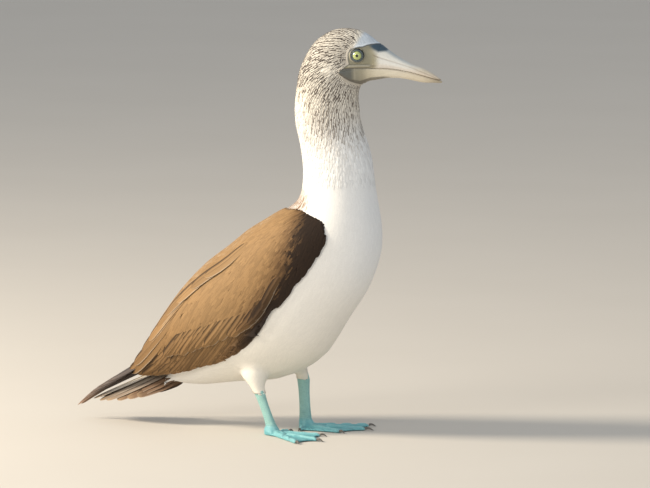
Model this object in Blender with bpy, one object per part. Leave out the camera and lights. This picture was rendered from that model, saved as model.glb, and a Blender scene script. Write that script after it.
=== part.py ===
"""Blue-footed booby (Sula nebouxii), a still life-size model standing on both feet.

The bird faces +X, its left side is +Y and the floor is z = 0. Head, bill, neck and torso are one
smooth form, lofted through stations and parted with thin cuts. The folded wings lie on that form,
and their feathers are vanes set in tiers.
"""

import math

import bmesh
import bpy
import numpy as np
from mathutils import Matrix, Vector
from mathutils.geometry import delaunay_2d_cdt

MM = 0.001
GAP = 0.3 * MM
FLAT_ANGLE = math.radians(0.5)

# The middle of the bird's plan view, in the frame in which the stations below are written.
PLAN_CENTRE = Vector((-70, -9, 0)) * MM

# Stations of the body, in millimetres, from the tail's root to the tip of the bill. Each is the
# dorsal point (x, z), the ventral point (x, z), the half width, and how far the width leans up.
TORSO_STATIONS = [
    (-187, 92, -175, 54, 20, 0.0),
    (-162, 136, -138, 54, 36, 0.0),
    (-136, 180, -90, 61, 52, 0.0),
    (-112, 213, -28, 69, 62, 0.0),
    (-89, 240, 31, 98, 67, 0.0),
    (-66, 264, 67, 150, 68, 0.0),
    (-42, 281, 97, 195, 66, 0.0),
    (-21, 296, 114, 241, 60, 0.0),
    (-1, 310, 115, 278, 53, 0.0),
]
NECK_STATIONS = [
    (6, 328, 110, 309, 47, 0.0),
    (7, 348, 105, 338, 43, 0.0),
    (5, 367, 101, 367, 41, 0.0),
    (2, 386, 94, 390, 39, 0.0),
    (-4, 409, 86, 412, 36, 0.0),
    (-5, 433, 83, 435, 34, 0.0),
]
HEAD_STATIONS = [
    (-3, 456, 82, 450, 32, 0.0),
    (1, 479, 83, 456, 31, 0.02),
    (10, 501, 84, 459, 30, 0.04),
    (23, 520, 86, 462, 29, 0.06),
    (41, 533, 88, 464, 27, 0.08),
    (59, 538, 90, 465, 25, 0.10),
    (77, 537, 93, 467, 23, 0.10),
    (92, 532, 96, 468, 20, 0.05),
    (104, 523, 101, 469, 17, 0.0),
    (114, 515, 107, 470, 14.5, -0.05),
]
BILL_STATIONS = [
    (127, 505, 123, 473, 12.0, -0.10),
    (140, 497, 137, 473, 10.0, -0.10),
    (154, 490, 153, 470.5, 8.2, -0.10),
    (168, 485, 167, 467.7, 6.4, -0.08),
    (181, 478, 181, 467, 4.3, -0.05),
    (188, 473.5, 188, 466.8, 2.6, 0.0),
    (192, 469.5, 192, 467.3, 1.0, 0.0),
]
STATIONS = np.array(TORSO_STATIONS + NECK_STATIONS + HEAD_STATIONS + BILL_STATIONS)

TORSO_SIDES, NECK_SIDES, HEAD_SIDES, WING_SIDES = 28, 24, 24, 22
TORSO_RINGS, NECK_RINGS, HEAD_RINGS, WING_RINGS, HOLLOW_RINGS = 21, 12, 33, 16, 12
NECK_FROM = 8.35      # station at which the torso ends and the neck starts
HEAD_FROM = 14.5      # station at which the neck ends and the head starts
YAW_FROM, YAW_TO = 8.0, 15.0
HEAD_YAW = math.radians(14)
HEAD_PIVOT = Vector((40, 0, 0)) * MM

# Head measures, from the point between the eyes: x forward along the bill, z up.
EYE_POINT = Vector((83, 0, 504.5)) * MM
EYE_SIDE = 20.2 * MM
EYE_RADIUS = 8.0 * MM
LID_RADIUS = 7.0 * MM
LID_THICKNESS = 1.3 * MM
LID_OUT = 0.55        # how far out the lid sits from the eye's middle, as a share of its radius
LID_SIDES, LID_RING_SIDES = 18, 6
EYE_SIDES, EYE_RINGS = 18, 9
MOUTH_LINE = [(-25, -22.5), (-2, -20), (20, -18.6), (36, -18.8), (52, -20.6), (66, -23.2),
              (80, -27), (92, -30.4), (103, -33.6), (118, -37.5)]
JAW_BACK = [(14, -41), (3, -39.5), (-7, -35.5), (-17, -31), (-23, -27)]
FEATHER_LINE = [(14, -18.7), (24, -6), (33, 30)]

# The wing form: the stations of both folded wings and the back as one body.
WING_STATIONS = np.array([
    (-243, 78, -230, 62, 22, 0.0),
    (-227, 98, -208, 60, 33, 0.05),
    (-208, 127, -176, 58, 44, 0.10),
    (-187, 157, -142, 58, 54, 0.15),
    (-160, 191, -102, 63, 63, 0.20),
    (-129, 222, -45, 74, 70, 0.20),
    (-97, 246, 20, 98, 74, 0.20),
    (-69, 268, 60, 149, 74.5, 0.20),
    (-43, 284, 92, 195, 72, 0.20),
    (-20, 298, 108, 241, 65, 0.15),
    (0, 309, 112, 277, 50, 0.0),
])
# Side outline of the folded wing without its long feathers, and how near it comes to the middle.
WING_OUTLINE = [
    (64, 272), (57, 252), (42, 227), (26, 206), (10, 186), (-16, 164), (-36, 143), (-56, 121),
    (-77, 105), (-100, 96), (-127, 90), (-160, 81), (-194, 76), (-218, 74), (-226, 84), (-214, 112),
    (-192, 148), (-160, 196), (-110, 245), (-60, 280), (-10, 302), (33, 303), (57, 293),
]
WING_THICKNESS = 11 * MM
WING_HOLLOW = (1.2, 7.5)
WING_INNER_EDGE = [(-240, 0.4), (-75, 0.4), (-50, 5), (-30, 13), (-10, 22), (80, 34)]

# Tiers of feathers on the wing form, from front to rear: the tip's station and degrees down from
# the back's ridge, the same of the root, and half the width in millimetres.
SECONDARIES = (10, [
    (5.85, 104, 6.95, 96, 10), (5.2, 117, 6.55, 97, 12), (4.4, 126, 6.0, 93, 13),
    (3.7, 126, 5.55, 89, 13), (2.75, 127, 4.95, 89, 13), (1.6, 127, 4.2, 87, 13),
    (0.5, 122, 3.3, 81, 12),
])
GREATER_COVERTS = (8, [
    (6.3, 96, 7.4, 90, 12), (5.5, 100, 6.5, 92, 13.5), (4.8, 103, 5.8, 88, 14.5), (4.1, 102, 5.2, 86, 15),
    (3.4, 99, 4.6, 84, 15), (2.6, 92, 4.0, 80, 14.5),
])
TERTIALS = (8, [
    (5.2, 44, 7.2, 42, 13), (4.2, 44, 6.5, 40, 13), (3.2, 46, 5.8, 41, 13), (2.2, 50, 5.0, 44, 12.5),
    (1.2, 59, 4.2, 51, 12), (0.05, 88, 3.3, 68, 11),
])
# The dark wing tip: its middle line in millimetres, and how far back each primary falls short.
WING_TIP_LINE = [
    (-196, 32, 92), (-225, 25, 77), (-250, 19, 63), (-275, 14, 50), (-298, 9.5, 37), (-326, 5, 16),
]
PRIMARY_SHORTFALLS = [0.0, 0.1, 0.22, 0.36]
VANE_EDGE = 0.45 * MM
VANE_HEIGHTS = [(0, -2.0), (0.4, 0.5), (1, 2.6)]
PRIMARY_HALF_WIDTH = 8.5 * MM
PRIMARY_RISE = 1.3 * MM
PRIMARY_NORMAL = (0.25, 0.55, 0.8)
SHINGLE_TILT = math.radians(4)
VANE_SHAPE = [(0, 0.5), (0.4, 0.95), (0.8, 0.85), (1, 0.22)]
POINTED_SHAPE = [(0, 0.8), (0.35, 1.0), (0.65, 0.85), (0.88, 0.5), (1, 0.12)]

RIGHT, LEFT = -1, 1
SIDE_NAMES = {RIGHT: "right", LEFT: "left"}

# Stance: where each ankle stands on the floor, the heading of its middle toe, and the hock.
ANKLE = {RIGHT: Vector((-24, -38, 0)) * MM, LEFT: Vector((-9, 38, 0)) * MM}
TOE_HEADING = {RIGHT: math.radians(-20), LEFT: math.radians(6)}
HOCK = {RIGHT: Vector((-41, -40, 56.5)) * MM, LEFT: Vector((-13, 40, 67)) * MM}
ANKLE_HEIGHT = 11 * MM

# Thigh rings: height above the hock, shift along the body, and half width, in millimetres.
THIGH_RINGS = [(0, 0, 9.8), (6, -4, 12.5), (14, -8, 17), (24, -11, 21), (40, -12, 23)]
THIGH_LEAN = 0.45
THIGH_SIDES, TARSUS_SIDES, LEG_RINGS = 16, 12, 9
# Tarsus rings: share of the height from ankle to hock, half depth and half width in millimetres.
TARSUS_RINGS = [(0, 8.8, 6.2), (0.12, 8.1, 5.2), (0.35, 7.5, 4.6), (0.7, 7.7, 4.6), (0.9, 8.6, 5.2),
                (1, 8.9, 5.5)]

# Toes: angle from the middle toe, positive towards the other foot, and length in millimetres.
TOES = {"outer": (-23, 84), "middle": (0, 83), "inner": (29, 66), "hind": (86, 31)}
HEEL_RADIUS = 9.5
ANKLE_DEPTH, ANKLE_WIDTH = 9.2, 6.8
ANKLE_FOOT = 17
TOE_HALF_WIDTH = 3.8
TOE_TIP_HALF_WIDTH = 2.4
TOE_TIP_HEIGHT = 4.6
WEB_BOTTOM, WEB_TOP = 0.9, 2.3
WEB_HOLLOW = 0.90     # how far the web's free edge is drawn in between two toes
CLAW_LENGTH = {"outer": 9, "middle": 11, "inner": 9, "hind": 7}
CLAW_HALF_WIDTH, CLAW_HALF_HEIGHT, CLAW_MIDDLE = 1.9, 1.8, 2.6
CLAW_RINGS = (0, 0.3, 0.6, 0.85, 1)
CLAW_SIDES = 6

# Tail feathers on one side, from the middle outwards: root and tip in millimetres.
TAIL_FEATHERS = [
    ((-176, 3.5, 84), (-300, 6, 28)),
    ((-176, 6, 81), (-288, 12, 28)),
    ((-176, 9, 77), (-275, 18, 31)),
    ((-176, 12, 72), (-257, 23, 34)),
    ((-176, 14, 67), (-240, 27, 39)),
    ((-176, 15, 62), (-225, 29, 44)),
]
# The fleshy tail root: share of the feathers' length and thickness in millimetres.
TAIL_ROOT = [(0, 9), (0.2, 7), (0.45, 2)]
TAIL_STEP = 0.9 * MM
TAIL_SIDE_STEP = 0.5 * MM
TAIL_HALF_WIDTH, TAIL_MIDDLE_HALF_WIDTH = 8.5 * MM, 9.0 * MM

COLOURS = {
    "white_plumage": ((0.88, 0.86, 0.82, 1), 0.85),
    "streaked_plumage": ((0.62, 0.56, 0.48, 1), 0.85),
    "brown_plumage": ((0.30, 0.19, 0.10, 1), 0.75),
    "tail_plumage": ((0.26, 0.18, 0.12, 1), 0.75),
    "blue_skin": ((0.14, 0.50, 0.56, 1), 0.50),
    "bill_horn": ((0.62, 0.59, 0.50, 1), 0.40),
    "iris": ((0.72, 0.76, 0.38, 1), 0.10),
    "claw_horn": ((0.30, 0.27, 0.23, 1), 0.35),
}


def clear_scene():
    for obj in list(bpy.data.objects):
        bpy.data.objects.remove(obj, do_unlink=True)


def make_material(name):
    colour, roughness = COLOURS[name]
    material = bpy.data.materials.new(name)
    material.use_nodes = True
    shader = material.node_tree.nodes["Principled BSDF"]
    shader.inputs["Base Color"].default_value = colour
    shader.inputs["Roughness"].default_value = roughness
    return material


def new_object(name, bm, collection, material=None):
    """An object from a closed bmesh, with its faces turned outwards."""
    bmesh.ops.recalc_face_normals(bm, faces=bm.faces)
    bmesh.ops.triangulate(bm, faces=bm.faces)
    mesh = bpy.data.meshes.new(name)
    bm.to_mesh(mesh)
    bm.free()
    obj = bpy.data.objects.new(name, mesh)
    collection.objects.link(obj)
    if material is not None:
        mesh.materials.append(material)
    return obj


def smooth_value(rows, t):
    """The row at a fractional index, along a smooth curve through all rows."""
    last = len(rows) - 1
    i = min(max(int(math.floor(t)), 0), last - 1)
    s = t - i
    before, start = rows[max(i - 1, 0)], rows[i]
    end, after = rows[i + 1], rows[min(i + 2, last)]
    m0, m1 = (end - before) / 2, (after - start) / 2
    return (
        (2 * s**3 - 3 * s**2 + 1) * start + (s**3 - 2 * s**2 + s) * m0
        + (3 * s**2 - 2 * s**3) * end + (s**3 - s**2) * m1
    )


def turn_head(point, t):
    """The point turned about the neck by the share of the head's yaw that station t has."""
    s = min(max((t - YAW_FROM) / (YAW_TO - YAW_FROM), 0), 1)
    turn = Matrix.Rotation(HEAD_YAW * s * s * (3 - 2 * s), 3, "Z")
    return HEAD_PIVOT + turn @ (point - HEAD_PIVOT)


def body_ring(rows, t, count, grow=0.0, turned=True):
    """One closed cross section of a stationed form, from the dorsal point round by the left side."""
    dx, dz, vx, vz, half_width, lean = smooth_value(rows, t)
    dorsal, ventral = Vector((dx, 0, dz)) * MM, Vector((vx, 0, vz)) * MM
    centre, up = (dorsal + ventral) / 2, (dorsal - ventral) / 2
    up = up * (1 + grow / up.length)
    side = half_width * MM + grow
    ring = []
    for i in range(count):
        angle = 2 * math.pi * i / count
        width = side * math.sin(angle) * (1 + lean * math.cos(angle))
        point = centre + up * math.cos(angle) + Vector((0, width, 0))
        ring.append(turn_head(point, t) if turned else point)
    return ring


def loft(bm, rings):
    """Skins rings of equal count and closes both ends."""
    made = [[bm.verts.new(p) for p in ring] for ring in rings]
    count = len(made[0])
    for a, b in zip(made, made[1:]):
        for i in range(count):
            j = (i + 1) % count
            bm.faces.new((a[i], a[j], b[j], b[i]))
    bm.faces.new(made[0])
    bm.faces.new(made[-1])


def form_object(name, collection, rows, ts, count, material=None, grow=0.0):
    """A stretch of a stationed form, with a ring at each of the station numbers ts."""
    bm = bmesh.new()
    loft(bm, [body_ring(rows, t, count, grow, rows is STATIONS) for t in ts])
    return new_object(name, bm, collection, material)


def gap_after(t):
    """The step in station number that leaves the gap on the ring's tighter side."""
    here, there = smooth_value(STATIONS, t), smooth_value(STATIONS, t + 0.02)
    dorsal = math.hypot(*(there[0:2] - here[0:2]))
    ventral = math.hypot(*(there[2:4] - here[2:4]))
    return 0.02 * (GAP / MM) / min(dorsal, ventral)


def trunk_cutters(collection):
    """Torso and neck, each a gap larger all round, to cut what lies on them."""
    torso, neck = torso_steps(), neck_steps()
    before = [-gap_after(0)]
    return [
        form_object("trunk", collection, STATIONS, before + torso, TORSO_SIDES, None, GAP),
        form_object("nape", collection, STATIONS, neck, NECK_SIDES, None, GAP),
    ]


def side_prism(name, collection, outline, low, high, matrix=Matrix.Identity(4)):
    """A side outline in millimetres, as a prism from y = low to y = high. Either may vary with x."""
    bm = bmesh.new()
    pair = []
    for y_at in (low, high):
        pair.append([bm.verts.new(matrix @ Vector((x * MM, y_at(x) * MM, z * MM))) for x, z in outline])
    near, far = pair
    count = len(outline)
    for i in range(count):
        j = (i + 1) % count
        bm.faces.new((near[i], near[j], far[j], far[i]))
    bm.faces.new(near)
    bm.faces.new(far)
    return new_object(name, bm, collection)


def evaluated_mesh(obj):
    graph = bpy.context.evaluated_depsgraph_get()
    return bpy.data.meshes.new_from_object(obj.evaluated_get(graph))


def keep_largest(mesh):
    """Leaves only the closed surface that encloses the most."""
    bm = bmesh.new()
    bm.from_mesh(mesh)
    left, islands = set(bm.faces), []
    while left:
        island, queue = set(), [left.pop()]
        while queue:
            face = queue.pop()
            island.add(face)
            for edge in face.edges:
                for other in edge.link_faces:
                    if other in left:
                        left.remove(other)
                        queue.append(other)
        islands.append(island)

    def volume(island):
        total = 0.0
        for face in island:
            first = face.verts[0].co
            for a, b in zip(face.verts[1:-1], face.verts[2:]):
                total += first.dot(a.co.cross(b.co))
        return total

    best = max(islands, key=volume)
    bmesh.ops.delete(bm, geom=[f for f in bm.faces if f not in best], context="FACES")
    bmesh.ops.dissolve_limit(bm, angle_limit=FLAT_ANGLE, verts=bm.verts, edges=bm.edges)
    bmesh.ops.triangulate(bm, faces=bm.faces)
    bm.to_mesh(mesh)
    bm.free()


def combine(obj, operation, others):
    """Applies one Boolean with a collection of closed mesh objects, then removes them."""
    tools = bpy.data.collections.new("tools")
    bpy.context.scene.collection.children.link(tools)
    for other in others:
        for old in list(other.users_collection):
            old.objects.unlink(other)
        tools.objects.link(other)
    modifier = obj.modifiers.new(operation.lower(), "BOOLEAN")
    modifier.operation = operation
    modifier.operand_type = "COLLECTION"
    modifier.collection = tools
    modifier.solver = "EXACT"
    mesh = evaluated_mesh(obj)
    obj.modifiers.clear()
    obj.data = mesh
    keep_largest(mesh)
    for other in others:
        bpy.data.objects.remove(other, do_unlink=True)
    bpy.data.collections.remove(tools)
    return obj


def head_matrix():
    turn = Matrix.Rotation(HEAD_YAW, 4, "Z")
    return (
        Matrix.Translation(HEAD_PIVOT) @ turn @ Matrix.Translation(EYE_POINT - HEAD_PIVOT)
    )


def torso_steps():
    return list(np.linspace(0, NECK_FROM, TORSO_RINGS))


def neck_steps():
    return list(np.linspace(NECK_FROM + gap_after(NECK_FROM), HEAD_FROM, NECK_RINGS))


def make_trunk(collection, materials):
    """Torso and neck, two lengths of the body form."""
    form_object("torso", collection, STATIONS, torso_steps(), TORSO_SIDES, materials["white_plumage"])
    form_object("neck", collection, STATIONS, neck_steps(), NECK_SIDES, materials["streaked_plumage"])


def grown_outline(outline, amount):
    """A side outline moved outwards by an amount in millimetres, or inwards by a negative one."""
    points = [Vector(p) for p in outline]
    area = sum(a.cross(b) for a, b in zip(points, points[1:] + points[:1]))
    sign = 1 if area > 0 else -1
    grown = []
    for i, point in enumerate(points):
        before = (point - points[i - 1]).normalized()
        after = (points[(i + 1) % len(points)] - point).normalized()
        first, second = Vector((before.y, -before.x)), Vector((after.y, -after.x))
        corner = (first + second).normalized()
        reach = sign * amount / max(corner.dot(first), 0.3)
        grown.append(tuple(point + corner * reach))
    return grown


def make_head(collection, materials):
    """Head and both halves of the bill, cut from one form along the mouth and the feather line."""
    steps = np.linspace(HEAD_FROM + gap_after(HEAD_FROM), len(STATIONS) - 1, HEAD_RINGS)
    matrix = head_matrix()
    half_gap = GAP / MM / 2
    far = MOUTH_LINE[-1][0]

    def cut_form(name, slot, operation, outlines):
        form = form_object(name, collection, STATIONS, steps, HEAD_SIDES, materials[slot])
        for outline in outlines:
            prism = side_prism("prism", collection, outline, lambda x: -60, lambda x: 60, matrix)
            combine(form, operation, [prism])
        return form

    mouth_ahead = [p for p in MOUTH_LINE if p[0] > FEATHER_LINE[0][0]]
    upper = FEATHER_LINE + [(FEATHER_LINE[-1][0], 80), (far, 80)] + mouth_ahead[::-1]
    lower = MOUTH_LINE + [(far, -80), (JAW_BACK[0][0], -80)] + JAW_BACK
    cut_form("bill_upper", "bill_horn", "INTERSECT", [grown_outline(upper, -half_gap)])
    cut_form("bill_lower", "bill_horn", "INTERSECT", [grown_outline(lower, -half_gap)])
    head = cut_form("head", "streaked_plumage", "DIFFERENCE",
                    [grown_outline(upper, half_gap), grown_outline(lower, half_gap)])
    for side in (RIGHT, LEFT):
        add_eye(head, side, matrix, collection, materials)


def ball(name, collection, centre, radius, material=None):
    bm = bmesh.new()
    bmesh.ops.create_uvsphere(bm, u_segments=EYE_SIDES, v_segments=EYE_RINGS, radius=radius)
    bmesh.ops.transform(bm, matrix=Matrix.Rotation(math.pi / 2, 4, "X"), verts=bm.verts)
    bmesh.ops.translate(bm, vec=centre, verts=bm.verts)
    return new_object(name, bm, collection, material)


def add_eye(head, side, matrix, collection, materials):
    """An eyeball in its socket, with the ring of bare skin that forms its lids."""
    centre = matrix @ Vector((0, side * EYE_SIDE, 0))
    outward = (matrix.to_3x3() @ Vector((0, side, 0))).normalized()
    bm = bmesh.new()
    turn = outward.to_track_quat("Z", "Y").to_matrix()
    middle = centre + outward * (LID_RADIUS * LID_OUT)
    rings = []
    for i in range(LID_SIDES):
        a = 2 * math.pi * i / LID_SIDES
        rim = turn @ Vector((math.cos(a), math.sin(a), 0))
        ring = []
        for j in range(LID_RING_SIDES):
            b = 2 * math.pi * j / LID_RING_SIDES
            reach = LID_RADIUS + LID_THICKNESS * math.cos(b)
            ring.append(bm.verts.new(middle + rim * reach + outward * (LID_THICKNESS * math.sin(b))))
        rings.append(ring)
    for i in range(LID_SIDES):
        a, b = rings[i], rings[(i + 1) % LID_SIDES]
        for j in range(LID_RING_SIDES):
            k = (j + 1) % LID_RING_SIDES
            bm.faces.new((a[j], a[k], b[k], b[j]))
    combine(head, "UNION", [new_object("lid", bm, collection)])
    combine(head, "DIFFERENCE", [ball("socket", collection, centre, EYE_RADIUS + GAP)])
    ball("eye_" + SIDE_NAMES[side], collection, centre, EYE_RADIUS, materials["iris"])


def vane_object(collection, path, normals, shape, half_width, tilt=0.0):
    """A feather's flat vane along a path of points, one for each row of its shape."""
    bm = bmesh.new()
    rings = []
    for i, (point, normal) in enumerate(zip(path, normals)):
        along = (path[min(i + 1, len(path) - 1)] - path[max(i - 1, 0)]).normalized()
        across = along.cross(normal).normalized()
        across = Matrix.Rotation(tilt, 3, along) @ across
        out = across.cross(along).normalized() * VANE_EDGE
        side = across * half_width * shape[i][1]
        rings.append([point - side + out, point + side + out, point + side - out, point - side - out])
    loft(bm, rings)
    return new_object("vane", bm, collection)


def line_point(points, share):
    """A point a share of the way along a line of points, by number of points."""
    t = share * (len(points) - 1)
    return Vector(smooth_value([np.array(p, dtype=float) for p in points], t)) * MM


def on_wing_form(t, degrees, side):
    """Point and outward normal on the smooth wing form."""
    def at(t, degrees):
        dx, dz, vx, vz, half_width, lean = smooth_value(WING_STATIONS, t)
        a = math.radians(degrees)
        middle, up = Vector((dx + vx, 0, dz + vz)) / 2, Vector((dx - vx, 0, dz - vz)) / 2
        width = side * half_width * math.sin(a) * (1 + lean * math.cos(a))
        return (middle + up * math.cos(a) + Vector((0, width, 0))) * MM

    point = at(t, degrees)
    normal = (at(t + 0.05, degrees) - at(t - 0.05, degrees)).cross(at(t, degrees + 2) - at(t, degrees - 2))
    normal.normalize()
    if normal.dot(Vector((0, side, 0.3))) < 0:
        normal.negate()
    return point, normal


def wing_vanes(collection, side):
    """All long feathers of one folded wing, tier by tier."""
    vanes = []
    for count, rows in (SECONDARIES, GREATER_COVERTS, TERTIALS):
        rows = [np.array(row, dtype=float) for row in rows]
        for i in range(count):
            row = smooth_value(rows, i / (count - 1) * (len(rows) - 1))
            tip, root, half_width = row[0:2], row[2:4], row[4] * MM
            path, normals = [], []
            for share, _ in VANE_SHAPE:
                t, degrees = root + (tip - root) * share
                point, normal = on_wing_form(t, degrees, side)
                height = float(np.interp(share, *zip(*VANE_HEIGHTS))) * MM
                path.append(point + normal * height)
                normals.append(normal)
            tilt = -side * SHINGLE_TILT
            vanes.append(vane_object(collection, path, normals, VANE_SHAPE, half_width, tilt))
    x, y, z = PRIMARY_NORMAL
    out = Vector((x, side * y, z))
    for i, shortfall in enumerate(PRIMARY_SHORTFALLS):
        path = []
        for share, _ in POINTED_SHAPE:
            point = line_point(WING_TIP_LINE, share * (1 - shortfall))
            path.append(Vector((point.x, side * point.y, point.z)) + out * (i * PRIMARY_RISE))
        normals = [out] * len(path)
        vanes.append(vane_object(collection, path, normals, POINTED_SHAPE, PRIMARY_HALF_WIDTH))
    return vanes


def inner_edge(x):
    xs, ys = zip(*WING_INNER_EDGE)
    return float(np.interp(x, xs, ys))


def make_wing(side, collection, materials):
    """One folded wing: the part of the wing form in the side outline that is off the trunk."""
    name = "wing_" + SIDE_NAMES[side]
    steps = np.linspace(0, len(WING_STATIONS) - 1, WING_RINGS)
    wing = form_object(name, collection, WING_STATIONS, steps, WING_SIDES, materials["brown_plumage"])
    prism = side_prism("outline", collection, WING_OUTLINE, lambda x: side * inner_edge(x),
                       lambda x: side * 100)
    combine(wing, "INTERSECT", [prism])
    steps = np.linspace(*WING_HOLLOW, HOLLOW_RINGS)
    hollow = form_object("hollow", collection, WING_STATIONS, steps, HEAD_SIDES, None, -WING_THICKNESS)
    combine(wing, "DIFFERENCE", trunk_cutters(collection) + [hollow])
    combine(wing, "UNION", wing_vanes(collection, side))
    combine(wing, "DIFFERENCE", trunk_cutters(collection))
    return wing


def make_tail(collection, materials):
    """A short fleshy root and the tail feathers, roofed from the middle pair outwards."""
    bm = bmesh.new()
    rings = []
    for share, thick in TAIL_ROOT:
        ring = []
        for side in (LEFT, RIGHT):
            for root, tip in (TAIL_FEATHERS[::-1] if side == LEFT else TAIL_FEATHERS):
                point = Vector(root).lerp(Vector(tip), share) * MM
                ring.append(Vector((point.x, side * point.y, point.z)))
        rings.append(ring + [p - Vector((0, 0, thick * MM)) for p in reversed(ring)])
    loft(bm, rings)
    tail = new_object("tail", bm, collection, materials["tail_plumage"])
    vanes = []
    for side in (LEFT, RIGHT):
        for i, (root, tip) in enumerate(TAIL_FEATHERS):
            lean = 0.2 + 0.09 * i
            normal = Vector((0.3, side * lean, 0.9)).normalized()
            drop = normal * (i * TAIL_STEP + (TAIL_SIDE_STEP if side == LEFT else 0))
            path = []
            for share, _ in VANE_SHAPE:
                point = Vector(root).lerp(Vector(tip), share) * MM
                path.append(Vector((point.x, side * point.y, point.z)) - drop)
            half_width = TAIL_MIDDLE_HALF_WIDTH if i == 0 else TAIL_HALF_WIDTH
            vanes.append(vane_object(collection, path, [normal] * len(path), VANE_SHAPE, half_width))
    combine(tail, "UNION", vanes)
    return combine(tail, "DIFFERENCE", trunk_cutters(collection))


def make_thigh(side, collection, materials):
    """The feathered shank between belly and hock."""
    bm = bmesh.new()
    rings = []
    hock = HOCK[side]
    rows = np.array(THIGH_RINGS, dtype=float)
    for t in np.linspace(0, len(rows) - 1, LEG_RINGS):
        height, shift, half = smooth_value(rows, t) * MM
        centre = hock + Vector((shift, -side * height * THIGH_LEAN, height + GAP))
        rings.append(flat_ring(centre, half, half * 0.9, THIGH_SIDES, 0))
    loft(bm, rings)
    thigh = new_object("thigh_" + SIDE_NAMES[side], bm, collection, materials["white_plumage"])
    return combine(thigh, "DIFFERENCE", trunk_cutters(collection))


def flat_ring(centre, depth, width, count, turn):
    """A level ellipse, its depth along the heading given by turn."""
    ring = []
    for i in range(count):
        a = 2 * math.pi * i / count
        x, y = depth * math.cos(a), width * math.sin(a)
        ring.append(centre + Vector((x * math.cos(turn) - y * math.sin(turn),
                                     x * math.sin(turn) + y * math.cos(turn), 0)))
    return ring


def make_tarsus(side, collection, materials):
    bm = bmesh.new()
    bottom = ANKLE[side] + Vector((0, 0, ANKLE_HEIGHT + GAP))
    rows = np.array(TARSUS_RINGS)
    rings = []
    for t in np.linspace(0, len(rows) - 1, LEG_RINGS):
        share, depth, width = smooth_value(rows, t)
        rings.append(flat_ring(bottom.lerp(HOCK[side], share), depth * MM, width * MM,
                               TARSUS_SIDES, TOE_HEADING[side]))
    loft(bm, rings)
    new_object("tarsus_" + SIDE_NAMES[side], bm, collection, materials["blue_skin"])


def toe_place(name, along, across=0.0):
    """A plan point on a toe, in millimetres from the ankle, the middle toe along +X."""
    angle = math.radians(TOES[name][0])
    c, s = math.cos(angle), math.sin(angle)
    return along * c - across * s, along * s + across * c


def toe_half_width(name, along):
    share = min(max(along / TOES[name][1], 0), 1)
    return TOE_HALF_WIDTH + (TOE_TIP_HALF_WIDTH - TOE_HALF_WIDTH) * share


def foot_outline():
    """Plan outline of a foot: each toe's blunt tip, the hollow edges of the webs, and the heel."""
    names = list(TOES)
    points = []
    for name, following in zip(names, names[1:] + [None]):
        length = TOES[name][1]
        half = toe_half_width(name, length)
        if name == names[0]:
            for along in (20, 42, 64):
                points.append(toe_place(name, along, -toe_half_width(name, along)))
        points.append(toe_place(name, length, -half))
        points.append(toe_place(name, length, half))
        if following is None:
            points.append(toe_place(name, length / 2, toe_half_width(name, length / 2)))
            continue
        start = np.array(toe_place(name, length - 3, half + 0.8))
        end_half = toe_half_width(following, TOES[following][1])
        end = np.array(toe_place(following, TOES[following][1] - 3, -end_half - 0.8))
        middle = (start + end) / 2 * WEB_HOLLOW
        for s in np.linspace(0, 1, 7):
            points.append(tuple((1 - s) ** 2 * start + 2 * s * (1 - s) * middle + s * s * end))
    last = TOES[names[-1]][0] + 90
    first = TOES[names[0]][0] - 90 + 360
    for degrees in np.linspace(last + 8, first - 8, 7):
        a = math.radians(degrees)
        points.append((HEEL_RADIUS * math.cos(a), HEEL_RADIUS * math.sin(a)))
    return points


def foot_heights(x, y):
    """Underside and top of a foot at a plan point, in millimetres."""
    bottom, top = WEB_BOTTOM, WEB_TOP
    for name, (degrees, length) in TOES.items():
        angle = math.radians(degrees)
        along = x * math.cos(angle) + y * math.sin(angle)
        across = abs(y * math.cos(angle) - x * math.sin(angle))
        half = toe_half_width(name, along)
        if along < 0 or across > half * 1.02:
            continue
        arch = math.sqrt(max(0, 1 - (across / half) ** 2))
        height = TOE_TIP_HEIGHT + 2.2 * (1 - min(along / length, 1))
        top = max(top, WEB_TOP + (height - WEB_TOP) * arch)
        if across < 0.75 * half:
            bottom = 0.0
    reach = math.hypot(x / ANKLE_DEPTH, y / ANKLE_WIDTH)
    rest = ANKLE_FOOT / ANKLE_DEPTH
    if reach < rest:
        rise = 1 - min(max((reach - 1) / (rest - 1), 0), 1)
        top = max(top, WEB_TOP + (ANKLE_HEIGHT / MM - WEB_TOP) * rise ** 1.6)
    if reach < 1.05:
        bottom = 0.0
    return bottom, top


def foot_inner_points():
    points = [(0.0, 0.0)]
    for scale in (0.55, 1.0, 1.3, 1.75):
        for i in range(14):
            a = 2 * math.pi * i / 14
            points.append((scale * ANKLE_DEPTH * math.cos(a), scale * ANKLE_WIDTH * math.sin(a)))
    names = list(TOES)
    for name in names:
        length = TOES[name][1]
        for along in np.linspace(19, length - 4, max(2, int(length / 12))):
            half = toe_half_width(name, along)
            for share in (-1.04, -0.7, 0, 0.7, 1.04):
                points.append(toe_place(name, along, share * half))
    for name, following in zip(names, names[1:]):
        for share in (0.35, 0.65):
            degrees = TOES[name][0] * (1 - share) + TOES[following][0] * share
            length = TOES[name][1] * (1 - share) + TOES[following][1] * share
            for part in (0.35, 0.55, 0.72):
                a = math.radians(degrees)
                points.append((part * length * math.cos(a), part * length * math.sin(a)))
    return points


def inside(point, outline, margin):
    """Whether a plan point lies in the outline, at least the margin from its edge."""
    x, y = point
    within = False
    for (ax, ay), (bx, by) in zip(outline, outline[1:] + outline[:1]):
        if (ay > y) != (by > y) and x < ax + (y - ay) / (by - ay) * (bx - ax):
            within = not within
        dx, dy = bx - ax, by - ay
        s = min(max(((x - ax) * dx + (y - ay) * dy) / (dx * dx + dy * dy), 0), 1)
        if math.hypot(x - ax - s * dx, y - ay - s * dy) < margin:
            return False
    return within


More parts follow.
